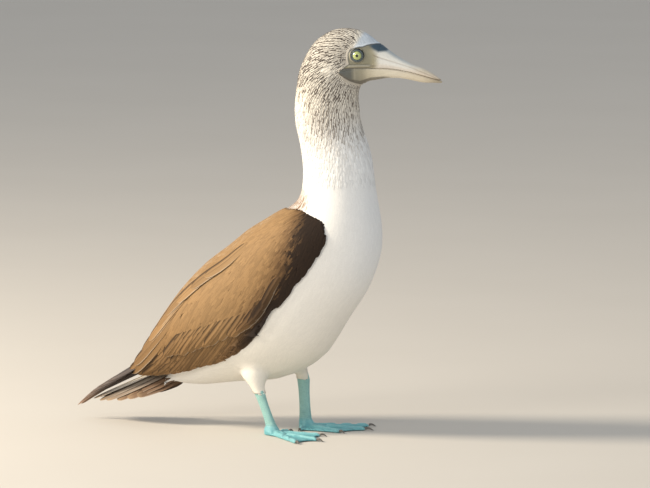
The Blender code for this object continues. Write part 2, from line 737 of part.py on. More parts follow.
def make_foot(side, collection, materials):
    """A foot with all four toes joined by webs, flat under each toe, and its claws."""
    outline = foot_outline()
    count = len(outline)
    plan = list(outline)
    for point in foot_inner_points():
        apart = all(math.hypot(point[0] - x, point[1] - y) > 1.1 for x, y in plan[count:])
        if apart and inside(point, outline, 0.7):
            plan.append(point)
    edges = [(i, (i + 1) % count) for i in range(count)]
    vectors = [Vector(p) for p in plan]
    placed, _, faces, _, _, _ = delaunay_2d_cdt(vectors, edges, [], 1, 1e-6)
    turn = Matrix.Rotation(TOE_HEADING[side], 3, "Z")

    def place(x, y, z):
        return ANKLE[side] + turn @ (Vector((x, -side * y, z)) * MM)

    bm = bmesh.new()
    low, high = [], []
    for x, y in placed:
        bottom, top = foot_heights(x, y)
        low.append(bm.verts.new(place(x, y, bottom)))
        high.append(bm.verts.new(place(x, y, top)))
    for face in faces:
        bm.faces.new([high[i] for i in face])
        bm.faces.new([low[i] for i in reversed(face)])
    for i, j in edges:
        bm.faces.new((low[i], low[j], high[j], high[i]))
    new_object("foot_" + SIDE_NAMES[side], bm, collection, materials["blue_skin"])
    for name in TOES:
        make_claw(side, name, place, collection, materials)


def make_claw(side, name, place, collection, materials):
    """A short hooked claw whose base faces the toe's blunt tip."""
    start = TOES[name][1] + GAP / MM
    length = CLAW_LENGTH[name]
    bm = bmesh.new()
    rings = []
    for share in CLAW_RINGS:
        size = math.sqrt(1 - 0.93 * share ** 1.6)
        middle = CLAW_MIDDLE + math.sin(math.pi * min(share * 1.1, 1)) - 1.7 * share ** 2
        ring = []
        for i in range(CLAW_SIDES):
            a = 2 * math.pi * i / CLAW_SIDES
            across = CLAW_HALF_WIDTH * size * math.sin(a)
            x, y = toe_place(name, start + length * share, across)
            ring.append(place(x, y, middle + CLAW_HALF_HEIGHT * size * math.cos(a)))
        rings.append(ring)
    loft(bm, rings)
    label = "claw_{}_{}".format(SIDE_NAMES[side], name)
    new_object(label, bm, collection, materials["claw_horn"])


def main():
    clear_scene()
    bird = bpy.data.collections.new("blue_footed_booby")
    bpy.context.scene.collection.children.link(bird)
    materials = {name: make_material(name) for name in COLOURS}
    make_trunk(bird, materials)
    make_head(bird, materials)
    for side in (RIGHT, LEFT):
        make_wing(side, bird, materials)
        make_thigh(side, bird, materials)
        make_tarsus(side, bird, materials)
        make_foot(side, bird, materials)
    make_tail(bird, materials)
    for obj in bird.objects:
        obj.data.transform(Matrix.Translation(-PLAN_CENTRE))


main()
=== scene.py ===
import math

import bmesh
import bpy
import numpy as np
from mathutils import Matrix, Vector
from mathutils.bvhtree import BVHTree
from mathutils.kdtree import KDTree


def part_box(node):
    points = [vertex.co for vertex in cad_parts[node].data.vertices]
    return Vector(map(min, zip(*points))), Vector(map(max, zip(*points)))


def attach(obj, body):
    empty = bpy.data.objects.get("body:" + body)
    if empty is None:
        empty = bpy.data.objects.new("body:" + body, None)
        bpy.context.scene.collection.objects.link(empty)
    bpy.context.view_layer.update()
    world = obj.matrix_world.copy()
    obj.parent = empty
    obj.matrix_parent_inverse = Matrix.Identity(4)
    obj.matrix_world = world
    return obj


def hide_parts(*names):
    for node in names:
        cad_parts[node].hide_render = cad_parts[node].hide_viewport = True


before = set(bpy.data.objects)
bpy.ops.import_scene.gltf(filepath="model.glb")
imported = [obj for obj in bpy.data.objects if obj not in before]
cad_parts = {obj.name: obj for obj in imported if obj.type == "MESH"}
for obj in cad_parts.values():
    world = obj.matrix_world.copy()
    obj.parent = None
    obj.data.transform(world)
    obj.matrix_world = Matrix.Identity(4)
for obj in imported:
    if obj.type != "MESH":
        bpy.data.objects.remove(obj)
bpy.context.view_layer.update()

# Skin
# The bird's living skin over head, neck, trunk, thighs and the fleshy root of the tail, as one
# closed surface. It is fused from the frame's own shapes, evened out, and lies under the coat.
MM = 0.001
SKIN_VOXEL = 2.2 * MM
SKIN_GROW = 0.25 * MM
SKIN_INWARD = 1.3 * MM
FACE_INWARD = 0.15 * MM
BILL_BACKING = 0.35 * MM
TAIL_ROOT_END = -124 * MM
HOCK_TAPER = 18 * MM
HOCK_COVER = 0.4 * MM
HOCK_REACH = 4 * MM
WELD = 0.002 * MM
CUT_TOLERANCE = 0.001 * MM
HEAD_BOTTOM = 0.44        # heights above the floor, metres
EVEN_TOP = 0.47
EVEN_BOTTOM = 0.085
SEED = 7
STAND_POINT = Vector((70, 9, 0)) * MM    # midway between the feet

random = np.random.default_rng(SEED)


def new_object(name, mesh):
    obj = bpy.data.objects.new(name, mesh)
    bpy.context.scene.collection.objects.link(obj)
    return obj


def add_copy(whole, node, grow):
    """Adds a copy of a node of the frame to a bmesh, grown all round or shrunk."""
    part = bmesh.new()
    part.from_mesh(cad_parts[node].data)
    bmesh.ops.remove_doubles(part, verts=part.verts, dist=WELD)
    part.normal_update()
    for vert in part.verts:
        vert.co += vert.normal * grow
    step = bpy.data.meshes.new("step")
    part.to_mesh(step)
    part.free()
    whole.from_mesh(step)
    bpy.data.meshes.remove(step)


def merged_copy(nodes, grow=0.0):
    """Copies of some nodes of the frame in one bmesh, each grown a little so that neighbours overlap."""
    whole = bmesh.new()
    for node in nodes:
        add_copy(whole, node, grow)
    return whole


def largest_island(bm):
    """Deletes all but the connected surface with the most faces."""
    left, best = set(bm.faces), set()
    while left:
        island, queue = set(), [left.pop()]
        while queue:
            face = queue.pop()
            island.add(face)
            for edge in face.edges:
                for other in edge.link_faces:
                    if other in left:
                        left.remove(other)
                        queue.append(other)
        if len(island) > len(best):
            best = island
    bmesh.ops.delete(bm, geom=[f for f in bm.faces if f not in best], context="FACES")


def fused(name, bm, voxel):
    """One evenly meshed closed surface round the shapes of a bmesh, as an object and its bmesh."""
    mesh = bpy.data.meshes.new(name)
    bm.to_mesh(mesh)
    bm.free()
    obj = new_object(name, mesh)
    modifier = obj.modifiers.new("fuse", "REMESH")
    modifier.mode = "VOXEL"
    modifier.voxel_size = voxel
    graph = bpy.context.evaluated_depsgraph_get()
    obj.data = bpy.data.meshes.new_from_object(obj.evaluated_get(graph))
    obj.modifiers.clear()
    bm = bmesh.new()
    bm.from_mesh(obj.data)
    largest_island(bm)
    return obj, bm


def relax(bm, times, chosen=None):
    """Smooths a bmesh, or only the vertices whose place is chosen."""
    verts = bm.verts if chosen is None else [v for v in bm.verts if chosen(v.co)]
    for _ in range(times):
        bmesh.ops.smooth_vert(bm, verts=verts, factor=0.5, use_axis_x=True, use_axis_y=True, use_axis_z=True)


def closed(obj, bm):
    """Writes a finished bmesh to its object, smooth and with its normals outwards."""
    bmesh.ops.recalc_face_normals(bm, faces=bm.faces)
    for face in bm.faces:
        face.smooth = True
    bm.to_mesh(obj.data)
    bm.free()
    return obj


def surface_tree(bm):
    bm.normal_update()
    return BVHTree.FromBMesh(bm)


def mesh_points(obj):
    return np.array([v.co for v in obj.data.vertices])


def push(bm, steps):
    """Moves each vertex of a bmesh along its normal by its own step."""
    for vert, step in zip(bm.verts, steps):
        vert.co += vert.normal * float(step)


def cut_rear(bm, end):
    """Cuts away all that lies behind a plane across the bird, and closes the cut."""
    bmesh.ops.bisect_plane(bm, geom=bm.verts[:] + bm.edges[:] + bm.faces[:], dist=CUT_TOLERANCE,
                           plane_co=(end, 0, 0), plane_no=(-1, 0, 0), clear_outer=True)
    bmesh.ops.holes_fill(bm, edges=[e for e in bm.edges if e.is_boundary], sides=0)


def set_material(obj, material):
    obj.data.materials.clear()
    obj.data.materials.append(material)


def unit(vectors):
    return vectors / np.linalg.norm(vectors, axis=-1)[..., None]


def smooth(low, high, x):
    """Rises from 0 at low to 1 at high; where low is the larger, it falls."""
    s = np.clip((np.asarray(x, dtype=float) - low) / (high - low), 0, 1)
    return s * s * (3 - 2 * s)


def mixed(a, b, share):
    """Colours a and b blended point by point."""
    share = np.asarray(share)[..., None]
    return np.asarray(a) * (1 - share) + np.asarray(b) * share


def centre_of(node):
    low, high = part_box(node)
    return (low + high) / 2


# The head's own frame: its origin is midway between the eyes, x runs along the bill.
EYES = {side: centre_of("eye_" + side) for side in ("right", "left")}
EYE_RADIUS = (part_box("eye_right")[1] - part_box("eye_right")[0]).z / 2
head_middle = (EYES["right"] + EYES["left"]) / 2
head_left = (EYES["left"] - EYES["right"]).normalized()
head_forward = head_left.cross(Vector((0, 0, 1))).normalized()
HEAD_AXES = np.array([head_forward, head_left, (0, 0, 1)])
EYE_DROP = 1.3            # the eyes of the model sit this far below the solids' eyes, millimetres


def in_head(points):
    """Points of the frame, as millimetres along, across and above the head's own axes."""
    return (np.asarray(points) - np.array(head_middle)) @ HEAD_AXES.T / MM


def points_of(bm):
    return np.array([v.co for v in bm.verts])


def polygon_depth(x, z, outline):
    """How deep points of a side view lie inside an outline; negative outside."""
    points = np.stack([x, z], -1)
    corners = np.array(outline, dtype=float)
    inside = np.zeros(points.shape[:-1], dtype=bool)
    nearest = np.full(points.shape[:-1], 1e9)
    for a, b in zip(corners, np.roll(corners, -1, axis=0)):
        ab = b - a
        share = np.clip(((points - a) @ ab) / (ab @ ab), 0, 1)
        nearest = np.minimum(nearest, np.linalg.norm(points - a - share[..., None] * ab, axis=-1))
        crosses = (a[1] > points[..., 1]) != (b[1] > points[..., 1])
        rise = ab[1] if ab[1] else 1e-9
        at = a[0] + (points[..., 1] - a[1]) / rise * ab[0]
        inside ^= crosses & (points[..., 0] < at)
    return np.where(inside, nearest, -nearest)


# The bare face in the head's frame, from above the rear of the eye forward and back by the throat.
BARE_FACE = [
    (-11.5, 1), (-9.5, 5.5), (-5.5, 8.2), (0.3, 9.9), (6.5, 10.3), (11.6, 12.2), (16.5, 13.2), (23, 13.6),
    (28, 13), (32, 22), (60, 30), (60, -60), (18, -46), (4, -41), (-3, -38.6), (-9.7, -35.6), (-17, -31),
    (-21.5, -25.5), (-22.5, -20.8), (-17, -17), (-10.5, -12.8), (-11.8, -7),
]


def bareness(points):
    """How far points lie inside the bare face, in millimetres; negative among the feathers."""
    head = in_head(points)
    return polygon_depth(head[..., 0], head[..., 2], BARE_FACE)


def make_skin():
    bm = merged_copy(["torso", "neck", "head", "thigh_right", "thigh_left", "tail"], SKIN_GROW)
    add_copy(bm, "bill_upper", -BILL_BACKING)
    add_copy(bm, "bill_lower", -BILL_BACKING)
    cut_rear(bm, TAIL_ROOT_END)
    obj, bm = fused("skin", bm, SKIN_VOXEL)
    relax(bm, 4)
    relax(bm, 30, lambda co: co.z < EVEN_TOP and (co.z > EVEN_BOTTOM or co.x < 0))
    for reach in (9, 3):
        depth = bareness(points_of(bm))
        bm.verts.index_update()
        near = {v for v in bm.verts if depth[v.index] > -reach and v.co.z > HEAD_BOTTOM}
        edges = [e for e in bm.edges if e.verts[0] in near and e.verts[1] in near]
        bmesh.ops.subdivide_edges(bm, edges=edges, cuts=1, use_grid_fill=True, smooth=1.0)
    relax(bm, 2, lambda co: co.z > HEAD_BOTTOM)
    bm.normal_update()
    depth = bareness(points_of(bm))
    inward = SKIN_INWARD + (FACE_INWARD - SKIN_INWARD) * smooth(-4, 0, depth)
    push(bm, -(inward + SKIN_GROW))
    return obj, bm


def shank_top(points):
    """The middle of the top of a shank, how far it leans for each unit of height, and its half widths."""
    top = points[:, 2].max()
    ring = points[points[:, 2] > top - 0.5 * MM]
    lower = points[(points[:, 2] < top - 10 * MM) & (points[:, 2] > top - 22 * MM)]
    centre = ring.mean(axis=0)
    lean = centre - lower.mean(axis=0)
    return centre, lean / lean[2], np.ptp(ring[:, :2], axis=0) / 2


def taper_hocks(bm):
    """Draws the lower end of each feathered thigh in around the top of the bare shank."""
    for side_name in ("right", "left"):
        centre, lean, half = shank_top(mesh_points(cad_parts["tarsus_" + side_name]))
        slim = half + HOCK_COVER
        for vert in bm.verts:
            height = vert.co.z - centre[2]
            axis = centre + lean * height
            across = np.array(vert.co) - axis
            far = max(float(np.hypot(*(across[:2] / slim))), 1e-6)
            share = float(smooth(HOCK_TAPER, 1 * MM, height) * smooth(2.6, 1.9, far))
            if share > 0:
                across *= 1 - share * max(1 - 1 / far, 0)
                vert.co = axis + across - lean * share * HOCK_REACH


skin, skin_bm = make_skin()
taper_hocks(skin_bm)

# Plumage colours
# The white body plumage is warm on head and nape. Its cool front is painted shade, its bluish forehead
# painted sky shade, and the buff low on the body a cream tint deepened with painted warm shade. Head and
# neck carry dark streaks, one in each small feather; the mantle between the wings is mottled brown and white.
WHITE = (0.84, 0.82, 0.78)
CREAM = (0.84, 0.77, 0.64)
COOL_SHADE = (0.74, 0.78, 0.83)
FOREHEAD_SHADE_BLUE = (0.60, 0.68, 0.76)
BUFF_AND_SHADE = (0.72, 0.65, 0.52)
STREAK_GREY = (0.050, 0.034, 0.026)
STREAK_TAN = (0.17, 0.138, 0.112)
STREAK_FAINT = (0.66, 0.62, 0.56)
MANTLE_BROWN = (0.24, 0.14, 0.075)
RUMP_BROWN = (0.17, 0.10, 0.05)


def plumage(points):
    """Colour, colour of the dark mark and its strength, for small feathers at points of the body."""
    points = np.asarray(points)
    x, z = points[..., 0] / MM, points[..., 2] / MM
    head = in_head(points)
    ahead, above = head[..., 0], head[..., 2]
    colour = np.broadcast_to(WHITE, points.shape).copy()
    colour = mixed(colour, CREAM, 0.8 * smooth(370, 450, z))
    # Painted shade: the front of neck and breast, turned from the light, tinted cooler and greyer.
    front = smooth(-10, 60, x - np.interp(z, [60, 200, 280, 430], [60, 130, 140, 110]))
    colour = mixed(colour, COOL_SHADE, 0.45 * front * smooth(430, 380, z) * smooth(140, 240, z))
    # A cream tint low on the body, deepened to paint the warm shade under it.
    colour = mixed(colour, BUFF_AND_SHADE, 0.55 * smooth(240, 60, z) * smooth(-150, 40, x))
    forehead = smooth(-3, 4, ahead - np.interp(above, [9, 18, 28], [-5, 0, 5])) * smooth(5, 10, above)
    # Painted shade: the forehead, turned from the light, tinted sky blue.
    colour = mixed(colour, FOREHEAD_SHADE_BLUE, 0.85 * forehead)
    rump = smooth(-4, 8, z - np.interp(x, [-160, -100, -40, 20], [86, 105, 150, 220])) * smooth(30, 0, x)
    colour = mixed(colour, RUMP_BROWN, rump)
    crown = smooth(440, 475, z) * (1 - forehead)
    pale_cheek = np.exp(-((ahead + 35) / 11) ** 2 - ((above + 17) / 9) ** 2)
    across = np.interp(x - 0.12 * (z - 400), [66, 84, 105, 130, 150], [0.25, 0.45, 0.85, 1.0, 0.6])
    neck = smooth(335, 425, z) * smooth(475, 440, z) * across
    mark = crown * (1 - 0.75 * pale_cheek) + neck
    mark_colour = mixed(STREAK_GREY, STREAK_TAN, smooth(478, 430, z))
    mark_colour = mixed(mark_colour, STREAK_FAINT, smooth(425, 365, z))
    back = np.interp(z, [240, 290, 315, 345], [40, 88, 108, 88])
    mantle = smooth(10, -14, x - back) * smooth(350, 318, z) * smooth(150, 200, z)
    mark = np.maximum(mark, mantle)
    mark_colour = mixed(mark_colour, MANTLE_BROWN, mantle)
    return colour, mark_colour, np.clip(mark, 0, 1)


class Value:
    """A shader socket whose sums, products and powers are written as Python expressions."""

    def __init__(self, tree, socket=None):
        self.tree = tree
        self.socket = socket

    def node(self, kind, settings, sockets, output=0):
        """Adds a node of a type: first its settings, then the values or links of its sockets."""
        made = self.tree.nodes.new(kind)
        for name, value in settings.items():
            if name == "stops":
                ramp = made.color_ramp
                while len(ramp.elements) < len(value):
                    ramp.elements.new(1.0)
                for element, (place, colour) in zip(ramp.elements, value):
                    element.position = place
                    element.color = (*colour, 1) if len(colour) == 3 else colour
            else:
                setattr(made, name, value)
        for name, value in sockets.items():
            if isinstance(value, Value):
                self.tree.links.new(value.socket, made.inputs[name])
            else:
                made.inputs[name].default_value = value
        return Value(self.tree, made.outputs[output])

    def math(self, operation, other=0.0, swapped=False):
        pair = {0: other, 1: self} if swapped else {0: self, 1: other}
        return self.node("ShaderNodeMath", {"operation": operation}, pair)

    def __add__(self, other):
        return self.math("ADD", other)

    def __radd__(self, other):
        return self.math("ADD", other, True)

    def __sub__(self, other):
        return self.math("SUBTRACT", other)

    def __rsub__(self, other):
        return self.math("SUBTRACT", other, True)

    def __mul__(self, other):
        return self.math("MULTIPLY", other)

    def __rmul__(self, other):
        return self.math("MULTIPLY", other, True)

    def __pow__(self, other):
        return self.math("POWER", other)

    def size(self):
        return self.math("ABSOLUTE")

    def clamped(self):
        return self.math("MINIMUM", 1.0).math("MAXIMUM", 0.0)

    def shuffled(self, factor):
        """A number from 0 to 1 that changes with this one without following it."""
        return (self * factor).math("FRACT")

    def step(self, low, high):
        """Rises from 0 at low to 1 at high, or falls where low is the larger."""
        sockets = {"Value": self, "From Min": low, "From Max": high}
        return self.node("ShaderNodeMapRange", {"interpolation_type": "SMOOTHSTEP"}, sockets)

    def attribute(self, name, output="Fac"):
        return self.node("ShaderNodeAttribute", {"attribute_name": name}, {}, output)

    def parts(self):
        """The three parts of a vector."""
        made = self.node("ShaderNodeSeparateXYZ", {}, {"Vector": self})
        return [Value(self.tree, made.socket.node.outputs[i]) for i in range(3)]

    def noise(self, scale, detail=2.0, roughness=0.5):
        """Cloudy noise at this vector, from 0 to 1."""
        sockets = {"Vector": self, "Scale": scale, "Detail": detail, "Roughness": roughness}
        return self.node("ShaderNodeTexNoise", {}, sockets)

    def stretched(self, x, y, z):
        sockets = {0: self, 1: (x, y, z)}
        return self.node("ShaderNodeVectorMath", {"operation": "MULTIPLY"}, sockets)

    def blended(self, a, b):
        """Colour a where this value is 0 and b where it is 1."""
        sockets = {"Factor": self, 6: a, 7: b}
        return self.node("ShaderNodeMix", {"data_type": "RGBA"}, sockets, 2)

    def shaded(self, colour, dark, light):
        """A colour multiplied by this value, spread from dark to light."""
        spread = self.node("ShaderNodeMapRange", {}, {"Value": self, "To Min": dark, "To Max": light})
        grey = spread.node("ShaderNodeCombineXYZ", {}, {0: spread, 1: spread, 2: spread})
        return self.node("ShaderNodeVectorMath", {"operation": "MULTIPLY"}, {0: colour, 1: grey})


def solid(*rgb):
    return (*rgb, 1.0)


def finish(name, base, roughness, bump=None, depth=0.0, distance=1.0, **fixed):
    """A material: base(value) gives its colour, roughness and bump are numbers or such functions."""
    material = bpy.data.materials.new(name)
    material.use_nodes = True
    tree = material.node_tree
    shader = tree.nodes["Principled BSDF"]
    start = Value(tree)
    for key, number in fixed.items():
        shader.inputs[key.replace("_", " ")].default_value = number
    tree.links.new(base(start).socket, shader.inputs["Base Color"])
    if callable(roughness):
        tree.links.new(roughness(start).socket, shader.inputs["Roughness"])
    else:
        shader.inputs["Roughness"].default_value = roughness
    if bump is not None:
        sockets = {"Height": bump(start), "Strength": depth, "Distance": distance * MM}
        made = start.node("ShaderNodeBump", {}, sockets)
        tree.links.new(made.socket, shader.inputs["Normal"])
    return material


def object_place(start):
    return start.node("ShaderNodeTexCoord", {}, {}, "Object")


def add_colours(mesh, name, colours):
    """Stores one colour for each vertex."""
    layer = mesh.attributes.new(name, "FLOAT_COLOR", "POINT")
    full = np.ones((len(colours), 4), dtype=np.float32)
    full[:, :3] = colours
    layer.data.foreach_set("color", full.ravel())


def add_numbers(mesh, name, numbers):
    layer = mesh.attributes.new(name, "FLOAT", "POINT")
    layer.data.foreach_set("value", np.asarray(numbers, dtype=np.float32).ravel())


def add_vectors(mesh, name, vectors):
    layer = mesh.attributes.new(name, "FLOAT_VECTOR", "POINT")
    layer.data.foreach_set("vector", np.asarray(vectors, dtype=np.float32).ravel())


# Bare face
# Naked skin between bill, eye and throat: grey-green lores that run into the bill, a dark blue
# patch where the ridge of the bill starts, a pale fold along the gape and a slate corner behind.
LORES = (0.29, 0.27, 0.185)
LORES_LIGHT = (0.46, 0.41, 0.27)
FACE_BLUE = (0.045, 0.085, 0.12)
BROW_SLATE = (0.06, 0.07, 0.08)
SOCKET = (0.10, 0.105, 0.10)
GAPE_PALE = (0.40, 0.37, 0.285)
GAPE_END = (0.17, 0.135, 0.10)
MOUTH_DARK = (0.085, 0.07, 0.055)
HORN = (0.66, 0.58, 0.45)
HORN_LIGHT = (0.86, 0.83, 0.75)
HORN_PINK = (0.72, 0.61, 0.49)
HORN_RIDGE_SHADE = (0.36, 0.41, 0.43)
HORN_TIP = (0.42, 0.37, 0.28)
TOMIUM_BROWN = (0.27, 0.19, 0.12)
LOWER_EDGE = (0.13, 0.115, 0.09)
# Lines of the side view, in the head's frame: where horn begins, the mouth, the groove and ridge.
HORN_START = [(-22, 24), (-17, 24.5), (-12, 26.5), (-3, 26), (6, 22), (13, 20)]
MOUTH_LINE = [(-22, -20.8), (-17.6, -18.8), (-7, -18.2), (20, -18.4), (36, -18.8), (52, -20.8), (66, -23.8),
              (80, -27.4), (92, -30.8), (103, -33.6)]
GAPE_LINE = [(-13, -15.6), (4, -15.2), (18, -15.4)]
GROOVE_LINE = [(17, 0.6), (24.5, -3.5), (35, -6.9), (50, -11.6), (62, -15.4), (73, -19.2), (85, -24.2),
               (96, -28.8), (106, -34)]
RIDGE_LINE = [(24, 13), (36, 4.5), (45, -1.2), (56, -7.6), (72, -15.6), (89, -24), (100, -29), (108, -34)]
JAW_LINE = [(-20, -26.5), (-14.6, -31), (-9.7, -34), (2, -37), (16, -32.6), (30, -31.4), (60, -30.5)]
BLUE_PATCH = [(15.5, 11), (18.5, 12.8), (23, 14.5), (31, 17), (40, 8), (36, 4), (31, 3.4), (26, 3), (20, 6.4)]
# Tones of the lower jaw from its rear corner to the tip: place along the head and colour.
JAW_TONES = np.array([
    (-22, 0.11, 0.115, 0.105), (-9, 0.14, 0.14, 0.12), (-5.5, 0.25, 0.235, 0.18), (-4, 0.36, 0.33, 0.25),
    (-2, 0.30, 0.28, 0.21), (5, 0.36, 0.33, 0.245), (13, 0.56, 0.51, 0.385), (24, 0.72, 0.66, 0.52),
    (45, 0.80, 0.73, 0.59), (85, 0.70, 0.61, 0.46), (104, 0.42, 0.36, 0.26),
])


def line_distance(head, line):
    """How far points of the head lie above a line of the side view, in millimetres."""
    xs, zs = zip(*line)
    return head[..., 2] - np.interp(head[..., 0], xs, zs)


def bump_at(value, centre, half):
    """A soft bump of a value: 1 at the centre, falling to 0 over the half width."""
    return np.exp(-((value - centre) / half) ** 2)


def jaw_colour(points):
    """The lower half of the bill and the slate skin at its corner."""
    head = in_head(points)
    x = head[..., 0]
    colour = np.stack([np.interp(x, JAW_TONES[:, 0], JAW_TONES[:, i]) for i in (1, 2, 3)], -1)
    mouth = line_distance(head, MOUTH_LINE)
    colour = mixed(colour, TOMIUM_BROWN, 0.45 * bump_at(mouth, -0.6, 0.8) * smooth(10, 30, x))
    low = smooth(2.6, 0.6, line_distance(head, JAW_LINE)) * smooth(48, 30, x)
    return mixed(colour, LOWER_EDGE, 0.8 * low)


def face_colour(points):
    """Colours of the naked face and of the bill, which run into one another without an edge."""
    head = in_head(points)
    x, z = head[..., 0], head[..., 2]
    levels, starts = zip(*HORN_START)
    front = x - np.interp(z, levels, starts)
    colour = np.broadcast_to(LORES, points.shape)
    colour = mixed(colour, LORES_LIGHT, smooth(-13, -3, front) * smooth(9, 3, z))
    horn = mixed(mixed(HORN_LIGHT, HORN, smooth(58, 88, x)), HORN_TIP, 0.85 * smooth(92, 106, x))
    horn = mixed(horn, HORN_PINK, 0.6 * bump_at(line_distance(head, MOUTH_LINE), 3.0, 2.0))
    colour = mixed(colour, horn, smooth(-6, 4, front))
    ridge = line_distance(head, RIDGE_LINE)
    # Painted shade: the upward face of the ridge, tinted blue-grey.
    colour = mixed(colour, HORN_RIDGE_SHADE, 0.8 * smooth(-4.5, 0.5, ridge) * smooth(96, 44, x) * smooth(26, 34, x))
    groove = bump_at(line_distance(head, GROOVE_LINE), 0, 0.75) * smooth(17, 22, x)
    colour = mixed(colour, TOMIUM_BROWN, groove * np.interp(x, [20, 32, 60, 100], [0.75, 0.45, 0.35, 0.5]))
    colour = mixed(colour, FACE_BLUE, smooth(-2.4, 1.8, polygon_depth(x, z, BLUE_PATCH)))
    from_eye = np.hypot(x, z + EYE_DROP)
    colour = mixed(colour, SOCKET, 0.75 * smooth(10.5, 8.2, from_eye))
    colour = mixed(colour, GAPE_PALE, 0.8 * bump_at(from_eye, 9.3, 0.7) * smooth(-2, -6, x))
    inside = bareness(points)
    colour = mixed(colour, BROW_SLATE, 0.85 * smooth(2.0, 0.5, inside) * smooth(0, 5, z) * smooth(30, 24, x))
    colour = mixed(colour, BROW_SLATE, 0.5 * smooth(1.8, 0.4, inside) * smooth(2, -2, z) * smooth(20, 8, x))
    gape = line_distance(head, GAPE_LINE)
    reach = smooth(-13, -10, x)
    colour = mixed(colour, GAPE_PALE, np.exp(-(gape / 1.45) ** 4) * reach * smooth(17.5, 15.5, x))
    colour = mixed(colour, GAPE_END, 0.7 * bump_at(gape, 0, 1.2) * bump_at(x, 19.5, 3.5))
    colour = mixed(colour, MOUTH_DARK, 0.5 * bump_at(gape, 2.3, 0.6) * reach * smooth(18, 12, x))
    mouth = line_distance(head, MOUTH_LINE)
    colour = mixed(colour, TOMIUM_BROWN, 0.5 * bump_at(mouth, 0.6, 0.8) * smooth(18, 30, x))
    colour = mixed(colour, jaw_colour(points), smooth(0.3, -0.5, mouth))
    return mixed(colour, MOUTH_DARK, 0.85 * bump_at(mouth, 0, 0.7) * smooth(26, 16, x))


def shape_face(bm):
    """Raises the rim of the eye's socket and the gape fold, and sinks the furrow beside each."""
    bm.normal_update()
    points = points_of(bm)
    head = in_head(points)
    x, y = head[..., 0], head[..., 1]
    bare = smooth(0, 3, bareness(points))
    from_eye = np.hypot(x, head[..., 2] + EYE_DROP)
    rim = 0.7 * bump_at(from_eye, 9.2, 0.9) - 0.4 * bump_at(from_eye, 11.2, 0.9)
    gape = line_distance(head, GAPE_LINE)
    reach = smooth(-14, -10, x) * smooth(19, 15, x)
    fold = (0.8 * bump_at(gape, 0, 1.4) - 0.35 * bump_at(gape, 2.4, 0.7)) * reach
    mouth = line_distance(head, MOUTH_LINE)
    slit = -0.6 * bump_at(mouth, 0, 0.7) * smooth(-21, -17, x)
    push(bm, (rim * smooth(8, 10, np.abs(y)) + (fold + slit) * bare) * MM)


shape_face(skin_bm)
skin_tree = surface_tree(skin_bm)
closed(skin, skin_bm)
skin_points = mesh_points(skin)
under, mark_colour, mark = plumage(skin_points)
under = mixed(under, mark_colour, 0.5 * mark)
bare = smooth(-0.6, 0.4, bareness(skin_points))
add_colours(skin.data, "tint", mixed(under, face_colour(skin_points), bare))
add_numbers(skin.data, "bare", bare)


def skin_base(start):
    tint = start.attribute("tint", "Color")
    grain = object_place(start).noise(900, 3, 0.6)
    return grain.shaded(tint, 0.82, 1.14)


def skin_bump(start):
    return object_place(start).noise(1100, 3, 0.6)


set_material(skin, finish("bird skin", skin_base, 0.5, skin_bump, 0.35, 0.5))
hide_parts("torso", "neck", "head", "thigh_right", "thigh_left")
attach(skin, "root")

# Eyes
# Two glassy eyes with a pale yellow-green iris and a small pupil, each in a ring of dark naked
# lid with fine beads. The clear front of the eye is the shader's coat.
PUPIL_RADIUS = 1.85
IRIS_RADIUS = 5.9
LID_RING = 7.0 * MM
LID_THICK = 1.15 * MM
LID_OUT = 3.9 * MM
LID_WAVE = 0.5 * MM       # how far the ring of the lid bends to follow the head
LID_DARK = (0.035, 0.052, 0.066)
LID_LIGHT = (0.11, 0.14, 0.155)
EYE_AHEAD = 0.06          # how far each eye looks forward
HIDDEN_HALF = 20          # added to the radius on the back of the eye, so that it takes the rim's colour
IRIS = (0.44, 0.50, 0.17)
IRIS_RIM = (0.10, 0.13, 0.09)
PUPIL = (0.004, 0.004, 0.005)


def eye_base(start):
    radius = start.attribute("radius")
    ring = start.attribute("ring", "Vector")
    streaks = ring.noise(9, 3, 0.6)
    iris = streaks.shaded(IRIS, 0.75, 1.25)
    iris = radius.step(IRIS_RADIUS - 1.3, IRIS_RADIUS).blended(iris, solid(*IRIS_RIM))
    return radius.step(PUPIL_RADIUS - 0.12, PUPIL_RADIUS + 0.12).blended(solid(*PUPIL), iris)


def lid_base(start):
    grain = object_place(start).noise(1400, 2)
    return grain.blended(solid(*LID_DARK), solid(*LID_LIGHT))


def lid_bump(start):
    beads = {"Vector": object_place(start), "Scale": 1500}
    return start.node("ShaderNodeTexVoronoi", {}, beads)


eye_finish = finish("wet eye", eye_base, 0.25, Coat_Weight=1.0, Coat_Roughness=0.03, Coat_IOR=1.45)
lid_finish = finish("naked lid", lid_base, 0.42, lid_bump, 0.5, 0.4)


def make_eye(side, place):
    bm = bmesh.new()
    bmesh.ops.create_uvsphere(bm, u_segments=48, v_segments=64, radius=EYE_RADIUS)
    local = points_of(bm) / MM
    bmesh.ops.transform(bm, matrix=place, verts=bm.verts)
    eye = new_object("eyeball_" + side, bpy.data.meshes.new("eyeball_" + side))
    closed(eye, bm)
    around = np.arctan2(local[:, 1], local[:, 0])
    radius = np.hypot(local[:, 0], local[:, 1]) + HIDDEN_HALF * (local[:, 2] < 0)
    add_numbers(eye.data, "radius", radius)
    add_vectors(eye.data, "ring", np.stack([np.cos(around), np.sin(around), radius * 0.03], 1))
    set_material(eye, eye_finish)
    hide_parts("eye_" + side)
    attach(eye, "root")


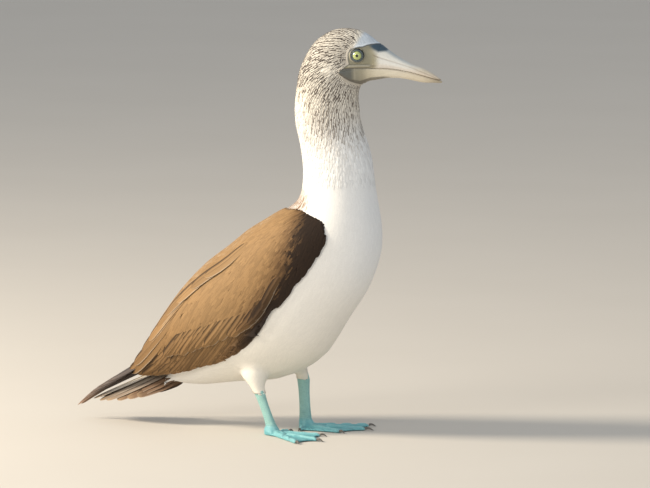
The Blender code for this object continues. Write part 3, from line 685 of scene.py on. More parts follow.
def make_lid(side, place):
    bm = bmesh.new()
    bmesh.ops.create_circle(bm, cap_ends=False, segments=12, radius=LID_THICK)
    bmesh.ops.transform(bm, matrix=Matrix.Rotation(math.pi / 2, 4, "X"), verts=bm.verts)
    bmesh.ops.translate(bm, vec=(LID_RING, 0, 0), verts=bm.verts)
    bmesh.ops.spin(bm, geom=bm.verts[:] + bm.edges[:], cent=(0, 0, 0), axis=(0, 0, 1), dvec=(0, 0, 0),
                   angle=2 * math.pi, steps=56, use_merge=True, use_duplicate=False)
    bmesh.ops.remove_doubles(bm, verts=bm.verts, dist=0.01 * MM)
    for vert in bm.verts:
        a = math.atan2(vert.co.y, vert.co.x)
        vert.co.z -= LID_WAVE * math.cos(2 * a)
    bmesh.ops.transform(bm, matrix=place @ Matrix.Translation((0, 0, LID_OUT)), verts=bm.verts)
    lid = new_object("lid_" + side, bpy.data.meshes.new("lid_" + side))
    closed(lid, bm)
    set_material(lid, lid_finish)
    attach(lid, "root")


for side in ("right", "left"):
    outward = head_left if side == "left" else -head_left
    turn = (outward + head_forward * EYE_AHEAD).normalized().to_track_quat("Z", "Y").to_matrix().to_4x4()
    place = Matrix.Translation(EYES[side] - Vector((0, 0, EYE_DROP * MM))) @ turn
    make_eye(side, place)
    make_lid(side, place)

# Bill
# Two horn halves with a closed mouth line. A long groove runs along each side below the ridge,
# the cutting edges are browner and finely notched, and painted blue-grey shade lies along the ridge towards
# the face.
BILL_VOXEL = 0.75 * MM
BILL_GROW = 0.1 * MM


def shape_upper(head):
    x = head[..., 0]
    notch = 0.08 * np.sin(x * 2.6) * bump_at(line_distance(head, MOUTH_LINE), 0.5, 1.0) * smooth(30, 45, x)
    return notch - 0.35 * bump_at(line_distance(head, GROOVE_LINE), 0, 0.8) * smooth(22, 34, x)


def shape_lower(head):
    x = head[..., 0]
    mouth = line_distance(head, MOUTH_LINE)
    swell = 0.25 * bump_at(mouth, -3.0, 1.5) * smooth(110, 60, x) * smooth(18, 40, x)
    return swell + 0.7 * smooth(-4, -7, mouth) * smooth(30, 45, x) * smooth(100, 80, x)


def horn_base(start):
    place = object_place(start)
    fibre = place.stretched(0.25, 1, 1).noise(700, 4, 0.65)
    return fibre.shaded(start.attribute("tint", "Color"), 0.86, 1.12)


def horn_bump(start):
    place = object_place(start)
    return place.stretched(0.2, 1, 1).noise(900, 3, 0.6) + place.noise(2600, 2) * 0.4


def horn_roughness(start):
    return object_place(start).noise(350, 2) * 0.25 + 0.28


horn_finish = finish("bill horn", horn_base, horn_roughness, horn_bump, 0.3, 0.4)
for node, paint, shape in (("bill_upper", face_colour, shape_upper), ("bill_lower", jaw_colour, shape_lower)):
    bill, bm = fused(node + "_horn", merged_copy([node], BILL_GROW), BILL_VOXEL)
    relax(bm, 5)
    bm.normal_update()
    push(bm, shape(in_head(points_of(bm))) * MM)
    closed(bill, bm)
    add_colours(bill.data, "tint", paint(mesh_points(bill)))
    set_material(bill, horn_finish)
    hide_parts(node)
    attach(bill, "root")

# Small body feathers
# Thousands of small overlapping vanes, each a closed blade whose root is in the skin and whose
# tip is lifted. They follow the lie of the plumage from bill to tail and down the thighs.
BODY_SHAPE = [(0, 0.45), (0.4, 0.95), (0.75, 0.9), (0.93, 0.5), (1, 0)]
LANCE_SHAPE = [(0, 0.5), (0.35, 1.0), (0.7, 0.75), (1, 0)]
SMALL_COLUMNS = [(-1, 0), (0, 1), (1, 0)]
# Where the lie of the plumage is known: place (x, z) in the side view and direction, millimetres.
BODY_LIE = [
    (166, 516, -0.6, 0.8), (150, 532, -0.95, 0.3), (130, 546, -1, 0), (100, 538, -0.9, -0.45),
    (82, 515, -0.6, -0.8), (76, 490, -0.25, -0.97), (118, 512, -1, -0.15), (105, 492, -0.85, -0.5),
    (125, 480, -0.8, -0.6), (146, 463, -0.5, -0.85), (112, 455, -0.45, -0.9), (84, 440, -0.1, -1),
    (105, 420, -0.1, -1), (146, 425, 0.05, -1), (110, 380, 0, -1), (160, 380, 0.15, -1),
    (80, 350, -0.05, -1), (120, 340, 0.02, -1), (176, 330, 0.08, -1), (184, 285, -0.05, -1),
    (140, 280, -0.15, -1), (170, 230, -0.4, -0.9), (130, 230, -0.35, -0.93), (140, 170, -0.7, -0.7),
    (100, 110, -0.9, -0.4), (60, 180, -0.55, -0.83), (60, 95, -0.35, -0.93), (45, 80, -0.15, -1),
    (20, 90, -0.75, -0.65), (-20, 90, -0.95, -0.25), (-70, 66, -1, -0.12), (-130, 55, -0.97, -0.24),
    (60, 312, -0.8, -0.6), (20, 285, -0.8, -0.6), (-50, 220, -0.7, -0.7), (-110, 120, -0.8, -0.6),
]


def lie_field(guides):
    """A function from points to the direction in which feathers lie there."""
    table = np.array(guides, dtype=float)
    ways = unit(table[:, 2:])

    def lie(points):
        side = np.asarray(points)[..., [0, 2]] / MM
        gap = np.linalg.norm(side[..., None, :] - table[:, :2], axis=-1)
        weight = 1 / (gap + 6) ** 3
        way = unit(weight @ ways)
        return np.stack([way[..., 0], np.zeros(way.shape[:-1]), way[..., 1]], -1)

    return lie


def sown(bm_points, faces, count, spacing, keep, lie, stretch):
    """Roots spread over a surface, with more room between them along the lie than across it."""
    corners = bm_points[faces]
    area = np.linalg.norm(np.cross(corners[:, 1] - corners[:, 0], corners[:, 2] - corners[:, 0]), axis=1)
    middle = corners.mean(axis=1)
    weight = np.where(keep(middle), area / spacing(middle) ** 2, 0)
    picked = random.choice(len(faces), size=count, p=weight / weight.sum())
    a, b = random.random(count), random.random(count)
    flip = a + b > 1
    a[flip], b[flip] = 1 - a[flip], 1 - b[flip]
    c = corners[picked]
    points = c[:, 0] + a[:, None] * (c[:, 1] - c[:, 0]) + b[:, None] * (c[:, 2] - c[:, 0])
    points = points[keep(points)]
    apart = spacing(points)
    ways = lie(points)
    tree = KDTree(len(points))
    for i, point in enumerate(points):
        tree.insert(point, i)
    tree.balance()
    taken = np.zeros(len(points), dtype=bool)
    for i, point in enumerate(points):
        if taken[i]:
            continue
        near = np.array([j for _, j, _ in tree.find_range(point, float(apart[i] * stretch)) if j > i], int)
        gap = points[near] - point
        along = gap @ ways[i]
        room = (gap ** 2).sum(1) - along ** 2 + (along / stretch) ** 2
        taken[near[room < apart[i] ** 2]] = True
    return points[~taken]


def walked(tree, roots, ways, lengths, shares):
    """Walks over a surface from each root along its way; the places and normals at the shares."""
    places = np.empty((len(roots), len(shares), 3))
    normals = np.empty_like(places)
    for i in range(len(roots)):
        place, normal, _, _ = tree.find_nearest(roots[i])
        way = Vector(ways[i])
        done = shares[0]
        for k, share in enumerate(shares):
            way = (way - normal * way.dot(normal)).normalized()
            if share > done:
                place, normal, _, _ = tree.find_nearest(place + way * float(lengths[i] * (share - done)))
                done = share
            places[i, k] = place
            normals[i, k] = normal
    return places, normals


# The unwrap of the bird's own shape: a middle line from bill to tail, and the angle around it.
SPINE = [(230, 480), (150, 495), (122, 470), (114, 380), (110, 320), (80, 230), (20, 150), (-60, 95),
         (-150, 60), (-260, 30)]


def unwrapped(points):
    """Place along the middle line, in metres, and turn around it, from -0.5 to 0.5."""
    spine = np.array(SPINE) * MM
    spans = np.linalg.norm(np.diff(spine, axis=0), axis=1)
    starts = np.concatenate([[0], np.cumsum(spans)])
    side = points[..., [0, 2]]
    best = np.full(points.shape[:-1], 1e9)
    along = np.zeros_like(best)
    offset = np.zeros_like(best)
    for i in range(len(spans)):
        way = (spine[i + 1] - spine[i]) / spans[i]
        reach = np.clip((side - spine[i]) @ way, 0, spans[i])
        foot = spine[i] + reach[..., None] * way
        gap = np.linalg.norm(side - foot, axis=-1)
        closer = gap < best
        best = np.where(closer, gap, best)
        along = np.where(closer, starts[i] + reach, along)
        across = (side - foot) @ np.array([-way[1], way[0]])
        offset = np.where(closer, across, offset)
    return along, np.arctan2(points[..., 1] - STAND_POINT.y, offset) / (2 * math.pi)


BAKE_PATCH = 0.003        # width of a feather's patch of the texture, as a share of the whole


def bake_map(mesh, roots, columns, shares):
    """Gives each feather a small patch of the texture at its root's place on the unwrap."""
    along, around = unwrapped(roots)
    spread = []
    for value in (along, around):
        low, high = value.min(), value.max()
        spread.append(0.01 + 0.98 * (value - low) / max(high - low, 1e-6))
    u = spread[0][:, None] + BAKE_PATCH * (np.append(np.repeat(shares[:-1], len(columns)), 1.0) - 0.5)
    v = spread[1][:, None] + BAKE_PATCH * 0.5 * np.append(np.tile(columns, len(shares) - 1), 0.0)
    corner = np.empty(len(mesh.loops), dtype=np.int32)
    mesh.loops.foreach_get("vertex_index", corner)
    layer = mesh.uv_layers.new(name="OFBake")
    flat = np.stack([u.ravel(), v.ravel()], 1)[corner].astype(np.float32)
    layer.data.foreach_set("uv", flat.ravel())


def blade_faces(rings, columns):
    """Faces of one closed blade: rings of points, then one point at the tip."""
    faces = []
    for r in range(rings - 1):
        for c in range(columns):
            a, b = r * columns + c, r * columns + (c + 1) % columns
            faces.append((a, b, b + columns))
            faces.append((a, b + columns, a + columns))
    tip, last = rings * columns, (rings - 1) * columns
    for c in range(columns):
        faces.append((last + c, last + (c + 1) % columns, tip))
    for c in range(1, columns - 1):
        faces.append((0, c + 1, c))
    return np.array(faces)


def crisp_rims(mesh, per, rings, columns):
    """Marks both rims of every blade sharp, so that its upper face shades as one soft surface."""
    ends = np.empty(len(mesh.edges) * 2, dtype=np.int32)
    mesh.edges.foreach_get("vertices", ends)
    ends = ends.reshape(-1, 2) % per
    column = np.where(ends == rings * columns, -1, ends % columns)
    on_rim = np.zeros(len(ends), dtype=bool)
    for rim in (0, columns - 1):
        on_rim |= ((column == rim) | (column == -1)).all(axis=1)
    layer = mesh.attributes.new("sharp_edge", "BOOLEAN", "EDGE")
    layer.data.foreach_set("value", on_rim)


def blade_mesh(name, points, faces):
    """A smooth mesh of triangles from arrays of points and corners."""
    mesh = bpy.data.meshes.new(name)
    mesh.vertices.add(len(points))
    mesh.vertices.foreach_set("co", points.astype(np.float32).ravel())
    mesh.loops.add(len(faces) * 3)
    mesh.loops.foreach_set("vertex_index", faces.astype(np.int32).ravel())
    mesh.polygons.add(len(faces))
    mesh.polygons.foreach_set("loop_start", np.arange(0, len(faces) * 3, 3, dtype=np.int32))
    mesh.polygons.foreach_set("use_smooth", np.ones(len(faces), dtype=bool))
    mesh.update(calc_edges=True)
    return mesh


def plumes(name, places, normals, widths, shape, lifts, thick, columns, tints, marks, mark_tints,
           material, droop=0.0):
    """Joined closed blades along given places, with their colours and bake map."""
    count, steps = places.shape[:2]
    ways = np.gradient(places, axis=1)
    ways /= np.maximum(np.linalg.norm(ways, axis=2), 1e-9)[..., None]
    across = unit(np.cross(ways, normals))
    upward = np.cross(across, ways)
    shares = np.array([s for s, _ in shape])
    wide = np.array([w for _, w in shape])
    raised = places + upward * lifts[..., None]
    verts, vane, colour = [], [], []
    seeds = random.random(count)
    for k in range(steps - 1):
        for c, rise in columns:
            half = widths * wide[k]
            body = raised[:, k] + across[:, k] * (half * c)[:, None]
            up = thick * rise * (0.4 + 0.6 * wide[k]) - droop * half * c * c
            verts.append(body + upward[:, k] * np.broadcast_to(up, (count,))[:, None])
            vane.append(np.stack([np.full(count, c), np.full(count, shares[k]), seeds], 1))
            colour.append(tints[:, k])
    verts.append(raised[:, -1])
    vane.append(np.stack([np.zeros(count), np.ones(count), seeds], 1))
    colour.append(tints[:, -1])
    verts, vane, colour = (np.stack(item, 1) for item in (verts, vane, colour))
    per = verts.shape[1]
    template = blade_faces(steps - 1, len(columns))
    faces = (template[None] + (np.arange(count) * per)[:, None, None]).reshape(-1, 3)
    mesh = blade_mesh(name, verts.reshape(-1, 3), faces)
    crisp_rims(mesh, per, steps - 1, len(columns))
    add_vectors(mesh, "vane", vane.reshape(-1, 3))
    add_colours(mesh, "tint", colour.reshape(-1, 3))
    add_colours(mesh, "mark_tint", np.repeat(mark_tints, per, axis=0))
    add_numbers(mesh, "mark", np.repeat(marks, per))
    bake_map(mesh, places[:, 0], [c for c, _ in columns], shares)
    obj = new_object(name, mesh)
    mesh.materials.append(material)
    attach(obj, "root")
    return obj


def jittered(ways, degrees):
    """The directions, each turned a little at random."""
    side = unit(np.cross(ways, random.normal(size=ways.shape)))
    turn = np.radians(random.normal(scale=degrees, size=len(ways)))[:, None]
    return ways * np.cos(turn) + side * np.sin(turn)


# Factors that turn the random number of a feather into unrelated ones.
TONE_SHUFFLE = 7.31
WIDTH_SHUFFLE = 3.77
MARK_SHUFFLE = 5.13


def down_base(start, dark=0.88, light=1.06):
    """White or streaked small feathers: a dark streak along the middle of the marked ones."""
    across, along, seed = start.attribute("vane", "Vector").parts()
    tint = start.attribute("tint", "Color")
    tint = seed.shuffled(TONE_SHUFFLE).shaded(tint, dark, light)
    width = seed.shuffled(WIDTH_SHUFFLE) * 0.45 + 0.30
    streak = ((width - across.size()) * 4.0 + 0.5).clamped() * along.step(0.1, 0.4)
    strength = start.attribute("mark") * 1.9 - seed.shuffled(MARK_SHUFFLE) * 1.2
    return (streak * strength.clamped()).blended(tint, start.attribute("mark_tint", "Color"))


def barb_bump(start):
    vane = start.attribute("vane", "Vector")
    return vane.stretched(6, 1.2, 40).noise(3.0, 2)


def white_base(start):
    """White feathers differ less from one another than the streaked ones."""
    return down_base(start, 0.965, 1.015)


down_finish = finish("small feathers", down_base, 0.75, barb_bump, 0.25, 0.3)
white_finish = finish("white feathers", white_base, 0.8, barb_bump, 0.12, 0.2)

LIE = lie_field(BODY_LIE)
COAT_REAR_END = -122 * MM
COAT_TRIES = 200000       # random places tried for roots
NECK_START = 340          # height where the streaked feathers start, millimetres
STRAY_TURN = 6            # degrees by which feathers stray from the lie


def body_spacing(points):
    """Distance between neighbouring roots: close on the face, wider over neck and body."""
    z = points[..., 2] / MM
    depth = -bareness(points)
    fine = np.interp(z, [60, 110, 200, 330, 400, 470, 540], [2.2, 2.4, 2.6, 2.6, 2.5, 2.4, 2.6])
    near = smooth(16, 2, depth) * smooth(440, 460, z)
    return (fine * (1 - near) + 1.5 * near) * MM


def feathered(points):
    z = points[..., 2] / MM
    bare = (bareness(points) > -0.3) & (z > 430)
    tail = points[..., 0] < COAT_REAR_END
    return ~bare & ~tail


def triangles_of(obj):
    obj.data.calc_loop_triangles()
    faces = np.empty(len(obj.data.loop_triangles) * 3, dtype=np.int32)
    obj.data.loop_triangles.foreach_get("vertices", faces)
    return faces.reshape(-1, 3)


PIECE_TRIANGLES = 190000
ROOT_SINK = 0.55 * MM
SMALL_DROOP = 0.13        # how far the rims of a small feather bend down, as a share of its half width


def coat(name, roots, tree, lie, slenderness, reach, shape, lift, thick, material, paint, spacing,
         stray):
    """A stretch of small feathers grown from roots, sized by the spacing of their roots."""
    apart = spacing(roots)
    count = len(roots)
    lengths = apart * reach * random.uniform(0.85, 1.15, count)
    widths = apart * slenderness * random.uniform(0.85, 1.1, count)
    ways = jittered(lie(roots), STRAY_TURN)
    shares = [s for s, _ in shape]
    places, normals = walked(tree, roots, ways, lengths, shares)
    rise = np.interp(shares, [0, 0.4, 1], [-0.25, 0.35, 1.0])
    lifts = rise[None] * (lift * apart * random.uniform(0.7, 1.3, count))[:, None]
    lifts = lifts - ROOT_SINK * smooth(0.35, 0, np.array(shares))[None]
    strays = random.normal(scale=stray * MM, size=(count, 1, 3))
    tints, _, _ = paint(places + strays)
    _, mark_tints, marks = paint(roots)
    most = PIECE_TRIANGLES // len(blade_faces(len(shape) - 1, len(SMALL_COLUMNS)))
    parts = math.ceil(count / most)
    order = np.argsort(roots[:, 2], kind="stable")
    for number, part in enumerate(np.array_split(order, parts)):
        label = name if parts == 1 else "{}_{}".format(name, number + 1)
        plumes(label, places[part], normals[part], widths[part], shape, lifts[part], thick, SMALL_COLUMNS,
               tints[part], marks[part], mark_tints[part], material, SMALL_DROOP)


roots = sown(skin_points, triangles_of(skin), COAT_TRIES, body_spacing, feathered, LIE, 2.0)
zs = roots[:, 2] / MM
bands = [("belly_feathers", 0, 130), ("breast_feathers", 130, 250), ("shoulder_feathers", 250, 340),
         ("neck_feathers", 340, 440), ("cheek_feathers", 440, 495), ("crown_feathers", 495, 600)]
for name, low, high in bands:
    chosen = roots[(zs >= low) & (zs < high)]
    if low < NECK_START:
        coat(name, chosen, skin_tree, LIE, 1.0, 4.6, BODY_SHAPE, 0.05, 0.08 * MM, white_finish,
             plumage, body_spacing, 0)
    else:
        coat(name, chosen, skin_tree, LIE, 0.72, 4.6, LANCE_SHAPE, 0.2, 0.25 * MM, down_finish,
             plumage, body_spacing, 0)

# Folded wings
# Each wing is a fleshy core under tiers of feathers: small coverts over the shoulder and back,
# then greater coverts, secondaries and long tertials, with the dark primaries as the wing's tip.
SIDES = (("right", -1), ("left", 1))
WING_VOXEL = 2.6 * MM
FLIGHT_THICK = 0.35 * MM
COVERT_TRIES = 90000
WING_INWARD = 1.9 * MM
WING_REAR_END = -150 * MM
BED_REACH = 9 * MM
BED_DEPTH = 0.6 * MM
# Cross sections of both folded wings and the back as one form, from rear to front, from the point
# midway between the feet: dorsal x and z, ventral x and z, half width, and upward lean.
WING_FORM = np.array([
    (-243, 78, -230, 62, 22, 0.0), (-227, 98, -208, 60, 33, 0.05), (-208, 127, -176, 58, 44, 0.10),
    (-187, 157, -142, 58, 54, 0.15), (-160, 191, -102, 63, 63, 0.20), (-129, 222, -45, 74, 70, 0.20),
    (-97, 246, 20, 98, 74, 0.20), (-69, 268, 60, 149, 74.5, 0.20), (-43, 284, 92, 195, 72, 0.20),
    (-20, 298, 108, 241, 65, 0.15), (0, 309, 112, 277, 50, 0.0),
])
WING_OUTLINE = [
    (134, 272), (127, 252), (112, 227), (96, 206), (80, 186), (54, 164), (34, 143), (14, 121),
    (-7, 105), (-30, 96), (-57, 90), (-90, 81), (-124, 76), (-148, 74), (-156, 84), (-144, 112),
    (-122, 148), (-90, 196), (-40, 245), (10, 280), (60, 302), (103, 303), (127, 293),
]
# Tiers from front to rear: tip station and degrees down from the ridge, root station and degrees,
# half width in millimetres. The number before each list is the count of feathers.
SECONDARIES = (20, [
    (5.2, 116, 6.4, 98, 5.5), (4.4, 126, 6.0, 93, 7), (3.7, 126, 5.55, 89, 7),
    (2.75, 127, 4.95, 89, 7), (1.6, 127, 4.2, 87, 7), (0.5, 122, 3.3, 81, 6.5),
])
GREATER_COVERTS = (20, [
    (6.3, 97, 7.4, 90, 5.5), (5.5, 102, 6.5, 92, 6), (4.8, 105, 5.8, 88, 6.5), (4.1, 104, 5.2, 86, 6.5),
    (3.4, 101, 4.6, 84, 6.5), (2.6, 94, 4.0, 80, 6.5),
])
TERTIALS = (9, [
    (5.2, 44, 7.2, 42, 9), (4.2, 44, 6.5, 40, 9.5), (3.2, 46, 5.8, 41, 9.5), (2.2, 50, 5.0, 44, 9),
    (1.2, 59, 4.2, 51, 8.5), (0.05, 88, 3.3, 68, 8),
])
WING_TIP_LINE = [
    (-196, 32, 92), (-225, 25, 77), (-250, 19, 63), (-275, 14, 50), (-298, 9.5, 37), (-324, 5.5, 17),
]
PRIMARY_SHORTFALLS = [0.0, 0.07, 0.16, 0.27, 0.4]
PRIMARY_HALF_WIDTH = 6.8
ROUND_SHAPE = [(0, 0.5), (0.12, 0.75), (0.3, 0.95), (0.5, 1.0), (0.7, 1.0), (0.84, 0.95), (0.92, 0.8),
               (0.97, 0.5), (1, 0)]
POINTED_SHAPE = [(0, 0.8), (0.2, 0.95), (0.4, 1.0), (0.6, 0.9), (0.75, 0.74), (0.87, 0.52), (0.95, 0.28),
                 (1, 0)]
FLIGHT_COLUMNS = [(-1, 0), (-0.5, 0.8), (-0.12, 0.9), (-0.04, 1.9), (0.05, 0.9), (0.5, 0.8), (1, 0)]
WING_GOLD = (0.265, 0.152, 0.062)
WING_SHEEN = (0.33, 0.205, 0.095)
WING_DARK = (0.021, 0.0105, 0.005)
WING_DEEP = (0.140, 0.074, 0.030)
WING_WHITE = (0.66, 0.58, 0.47)
PRIMARY_BLACK = (0.050, 0.034, 0.026)
PRIMARY_TIP = (0.19, 0.10, 0.05)
PRIMARY_SHAFT = (0.10, 0.06, 0.04)
WING_LIE = [
    (120, 285, -0.35, -0.94), (126, 262, -0.35, -0.94), (100, 225, -0.5, -0.87), (60, 211, -0.48, -0.88),
    (31, 156, -0.55, -0.83), (0, 115, -0.66, -0.75), (-50, 110, -0.55, -0.83), (-95, 130, -0.5, -0.87),
    (-120, 90, -0.55, -0.83), (90, 280, -0.6, -0.8), (50, 285, -0.75, -0.66), (0, 250, -0.72, -0.69),
    (-50, 210, -0.72, -0.69), (-100, 160, -0.7, -0.71), (-140, 110, -0.7, -0.71), (20, 200, -0.55, -0.83),
    (-40, 160, -0.52, -0.85), (131, 272, -0.2, -0.98), (120, 240, -0.5, -0.86), (104, 216, -0.6, -0.8),
    (88, 196, -0.64, -0.77), (66, 175, -0.74, -0.67), (44, 154, -0.7, -0.71),
]


def along_rows(rows, t):
    """Rows at fractional indices, along a smooth curve through all of them."""
    rows = np.asarray(rows, dtype=float)
    t = np.asarray(t, dtype=float)
    last = len(rows) - 1
    i = np.clip(np.floor(t).astype(int), 0, last - 1)
    s = (t - i)[..., None]
    before, start, end = rows[np.maximum(i - 1, 0)], rows[i], rows[i + 1]
    after = rows[np.minimum(i + 2, last)]
    return (start + (end - before) / 2 * s + (before - 2.5 * start + 2 * end - after / 2) * s ** 2
            + ((after - before) / 2 + 1.5 * (start - end)) * s ** 3)


def on_wing(t, degrees, side):
    """Places on the smooth form of the folded wings; side is -1 for the right and 1 for the left."""
    dx, dz, vx, vz, half, lean = np.moveaxis(along_rows(WING_FORM, t), -1, 0)
    a = np.radians(degrees)
    x = (dx + vx) / 2 + (dx - vx) / 2 * np.cos(a)
    z = (dz + vz) / 2 + (dz - vz) / 2 * np.cos(a)
    y = side * half * np.sin(a) * (1 + lean * np.cos(a))
    return np.stack([x, y, z], -1) * MM + np.array(STAND_POINT)


def wing_sheet(side):
    """Points, triangles and search tree of one side of the wing form."""
    rows, columns = 81, 61
    t, degrees = np.meshgrid(np.linspace(0, 10, rows), np.linspace(0, 165, columns), indexing="ij")
    points = on_wing(t, degrees, side).reshape(-1, 3)
    faces = []
    for r in range(rows - 1):
        for c in range(columns - 1):
            a = r * columns + c
            quad = (a, a + columns, a + columns + 1, a + 1)
            faces.append(quad if side > 0 else quad[::-1])
    tree = BVHTree.FromPolygons(points.tolist(), faces)
    faces = np.array(faces)
    triangles = np.concatenate([faces[:, [0, 1, 2]], faces[:, [0, 2, 3]]])
    return points, triangles, tree


def wing_colours(points):
    """Golden-brown wing with a painted highlight across the middle, a dark brown leading edge deepened by
    painted shade, and paler, worn feathers over the back.
    """
    x, z = points[..., 0] / MM, points[..., 2] / MM
    edge = x - np.interp(z, [60, 105, 134, 177, 211, 251, 298, 330], [-40, -2, 17, 46, 71, 88, 95, 97])
    colour = np.broadcast_to(WING_GOLD, points.shape).copy()
    # Painted highlight: a paler golden band across the middle of the wing.
    pale = np.exp(-((x + 15 - 0.55 * (z - 200)) / 60) ** 2) * smooth(110, 160, z)
    colour = mixed(colour, WING_SHEEN, 0.6 * pale)
    colour = mixed(colour, WING_DEEP, 0.3 * smooth(140, 85, z))
    # The leading edge: dark brown, deepened by painted shade where the wing turns from the light.
    colour = mixed(colour, WING_DEEP, 0.75 * smooth(-26, -4, edge))
    colour = mixed(colour, WING_DARK, smooth(-10, 12, edge))
    ridge = x - np.interp(z, [60, 150, 230, 300], [-170, -125, -45, 52])
    back = smooth(20, 4, ridge) * smooth(110, 200, z)
    return colour, np.broadcast_to(WING_WHITE, points.shape), 0.35 * back


def fine_barbs(vane, across, along):
    """Noise drawn out along a vane into fine barbs."""
    return vane.stretched(across, along, 60).noise(2.6, 4, 0.7)


def flecked(start, tint, along, seed):
    """The tint of a wing feather with a pale, worn fleck at the tip of the marked ones."""
    flecks = start.attribute("mark") * along.step(0.55, 0.95) * seed.shuffled(MARK_SHUFFLE)
    return flecks.blended(tint, start.attribute("mark_tint", "Color"))


def vane_base(start):
    """Brown feathers: darker along the shaft, paler at one edge and darkened at the other as painted shade of
    the gap beside the next feather, with fine lengthwise barbs.
    """
    vane = start.attribute("vane", "Vector")
    across, along, seed = vane.parts()
    tint = start.attribute("tint", "Color")
    barbs = fine_barbs(vane, 5, 0.8)
    tone = seed.shuffled(TONE_SHUFFLE) * 0.5 + barbs * 0.9 - 0.2
    tint = tone.shaded(tint, 0.62, 1.42)
    # Painted shade: one rim darkened like the shaded gap beside the next feather.
    tint = (across.step(0.35, 0.8) * 0.8).blended(tint, solid(*WING_DARK))
    edge = (0 - across).step(0.75, 1.0) * along.step(0.2, 0.7)
    tint = (edge * 0.3).blended(tint, solid(*WING_WHITE))
    shaft = across.size().step(0.16, 0.0)
    tint = (shaft * 0.35).blended(tint, solid(*WING_DARK))
    return flecked(start, tint, along, seed)


def covert_base(start):
    """Small wing feathers: one soft tone each, so that together they read as fine long streaks."""
    vane = start.attribute("vane", "Vector")
    across, along, seed = vane.parts()
    barbs = fine_barbs(vane, 4, 0.7)
    tone = seed.shuffled(TONE_SHUFFLE) * 0.6 + barbs * 0.7 - 0.15
    tint = tone.shaded(start.attribute("tint", "Color"), 0.78, 1.22)
    tint = (across.size().step(0.2, 0.0) * 0.15).blended(tint, solid(*WING_DARK))
    return flecked(start, tint, along, seed)


def vane_roughness(start):
    vane = start.attribute("vane", "Vector")
    return vane.stretched(3, 1, 20).noise(3, 2) * 0.25 + 0.6


vane_finish = finish("wing feathers", vane_base, vane_roughness, barb_bump, 0.35, 0.3,
                     Specular_IOR_Level=0.25)
covert_finish = finish("small wing feathers", covert_base, vane_roughness, barb_bump, 0.2, 0.2,
                       Specular_IOR_Level=0.25)


def tier_paths(tier, side, shape):
    """Places, normals and half widths of the feathers of one tier on the wing form."""
    count, rows = tier
    row = along_rows(rows, np.linspace(0, len(rows) - 1, count))
    shares = np.array([s for s, _ in shape])
    tip, root = row[:, None, 0:2], row[:, None, 2:4]
    stray = random.normal(scale=(0.05, 0.8), size=(count, 1, 2))
    way = root + (tip + stray - root) * shares[None, :, None]
    t, degrees = np.maximum(way[..., 0], 0), way[..., 1]
    places = on_wing(t, degrees, side)
    ahead = on_wing(t + 0.05, degrees, side) - on_wing(t - 0.05, degrees, side)
    round_way = on_wing(t, degrees + 2, side) - on_wing(t, degrees - 2, side)
    normals = unit(np.cross(ahead, round_way))
    normals *= np.sign((normals * np.array([0, side, 0.3])).sum(-1))[..., None]
    return places, normals, row[:, 4] * MM


def tier(name, data, side, heights, shape=ROUND_SHAPE, tilt=0.0, darker=1.0, material=None):
    places, normals, widths = tier_paths(data, side, shape)
    shares = [s for s, _ in shape]
    lifts = np.interp(shares, [0, 0.5, 1], heights)[None] * MM * random.uniform(0.85, 1.15, (len(places), 1))
    tints, mark_tints, marks = wing_colours(places)
    return plumes(name, places, normals, widths, shape, lifts, FLIGHT_THICK, FLIGHT_COLUMNS,
                  tints * darker, marks[:, 0], mark_tints[:, 0], material or vane_finish,
                  0.10)


def covert_spacing(points):
    """Small coverts over the shoulder, larger towards the flight feathers."""
    x, z = points[..., 0] / MM, points[..., 2] / MM
    rear = smooth(60, -110, x) + 0.5 * smooth(240, 120, z)
    return (2.0 + 0.9 * rear) * MM


def covert_area(points):
    """Where coverts grow: inside the wing's outline, above the greater coverts' row."""
    x, z = points[..., 0] / MM, points[..., 2] / MM
    low = np.interp(x, [-150, -110, -60, 0, 25, 45], [112, 124, 134, 150, 150, 100])
    return (polygon_depth(x, z, WING_OUTLINE) > 1.0) & (z > low)


def make_wing_core(side_name, sheet_tree):
    bm = merged_copy(["wing_" + side_name])
    cut_rear(bm, WING_REAR_END)
    core, bm = fused("wing_core_" + side_name, bm, WING_VOXEL)
    relax(bm, 25)
    bm.normal_update()
    for vert in bm.verts:
        place, normal, _, gap = sheet_tree.find_nearest(vert.co)
        if gap < BED_REACH and normal.dot(vert.normal) > 0.3:
            vert.co = place - normal * BED_DEPTH
        else:
            vert.co -= vert.normal * WING_INWARD
    relax(bm, 3)
    closed(core, bm)
    add_colours(core.data, "tint", wing_colours(mesh_points(core))[0])
    set_material(core, core_finish)
    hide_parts("wing_" + side_name)
    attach(core, "root")


def core_base(start):
    streaks = object_place(start).stretched(1, 1, 0.3).noise(600, 3)
    return streaks.shaded(start.attribute("tint", "Color"), 0.7, 1.3)


def core_bump(start):
    return object_place(start).noise(900, 3)


core_finish = finish("feather bed", core_base, 0.85, core_bump, 0.4, 0.5)


def wing_tip(name, side):
    """The pointed primaries, stacked from the longest outwards."""
    shares = np.array([s for s, _ in POINTED_SHAPE])
    line = np.array(WING_TIP_LINE, dtype=float)
    out = np.array([0.25, side * 0.55, 0.8])
    out /= np.linalg.norm(out)
    places = []
    for i, shortfall in enumerate(PRIMARY_SHORTFALLS):
        path = along_rows(line, shares * (1 - shortfall) * (len(line) - 1)) * (1, side, 1)
        places.append(path * MM + np.array(STAND_POINT) + out * (0.2 + 1.05 * i) * MM)
    places = np.array(places)
    normals = np.broadcast_to(out, places.shape)
    tip = smooth(0.72, 1.0, shares)[None, :] * np.array([1, 0.5, 0.3, 0.2, 0.2])[:, None]
    tints = mixed(np.broadcast_to(PRIMARY_BLACK, places.shape), PRIMARY_TIP, tip)
    count = len(places)
    return plumes(name, places, normals, np.full(count, PRIMARY_HALF_WIDTH * MM), POINTED_SHAPE,
                  np.zeros(places.shape[:2]), FLIGHT_THICK, FLIGHT_COLUMNS, tints, np.zeros(count),
                  np.zeros((count, 3)), primary_finish, 0.06)


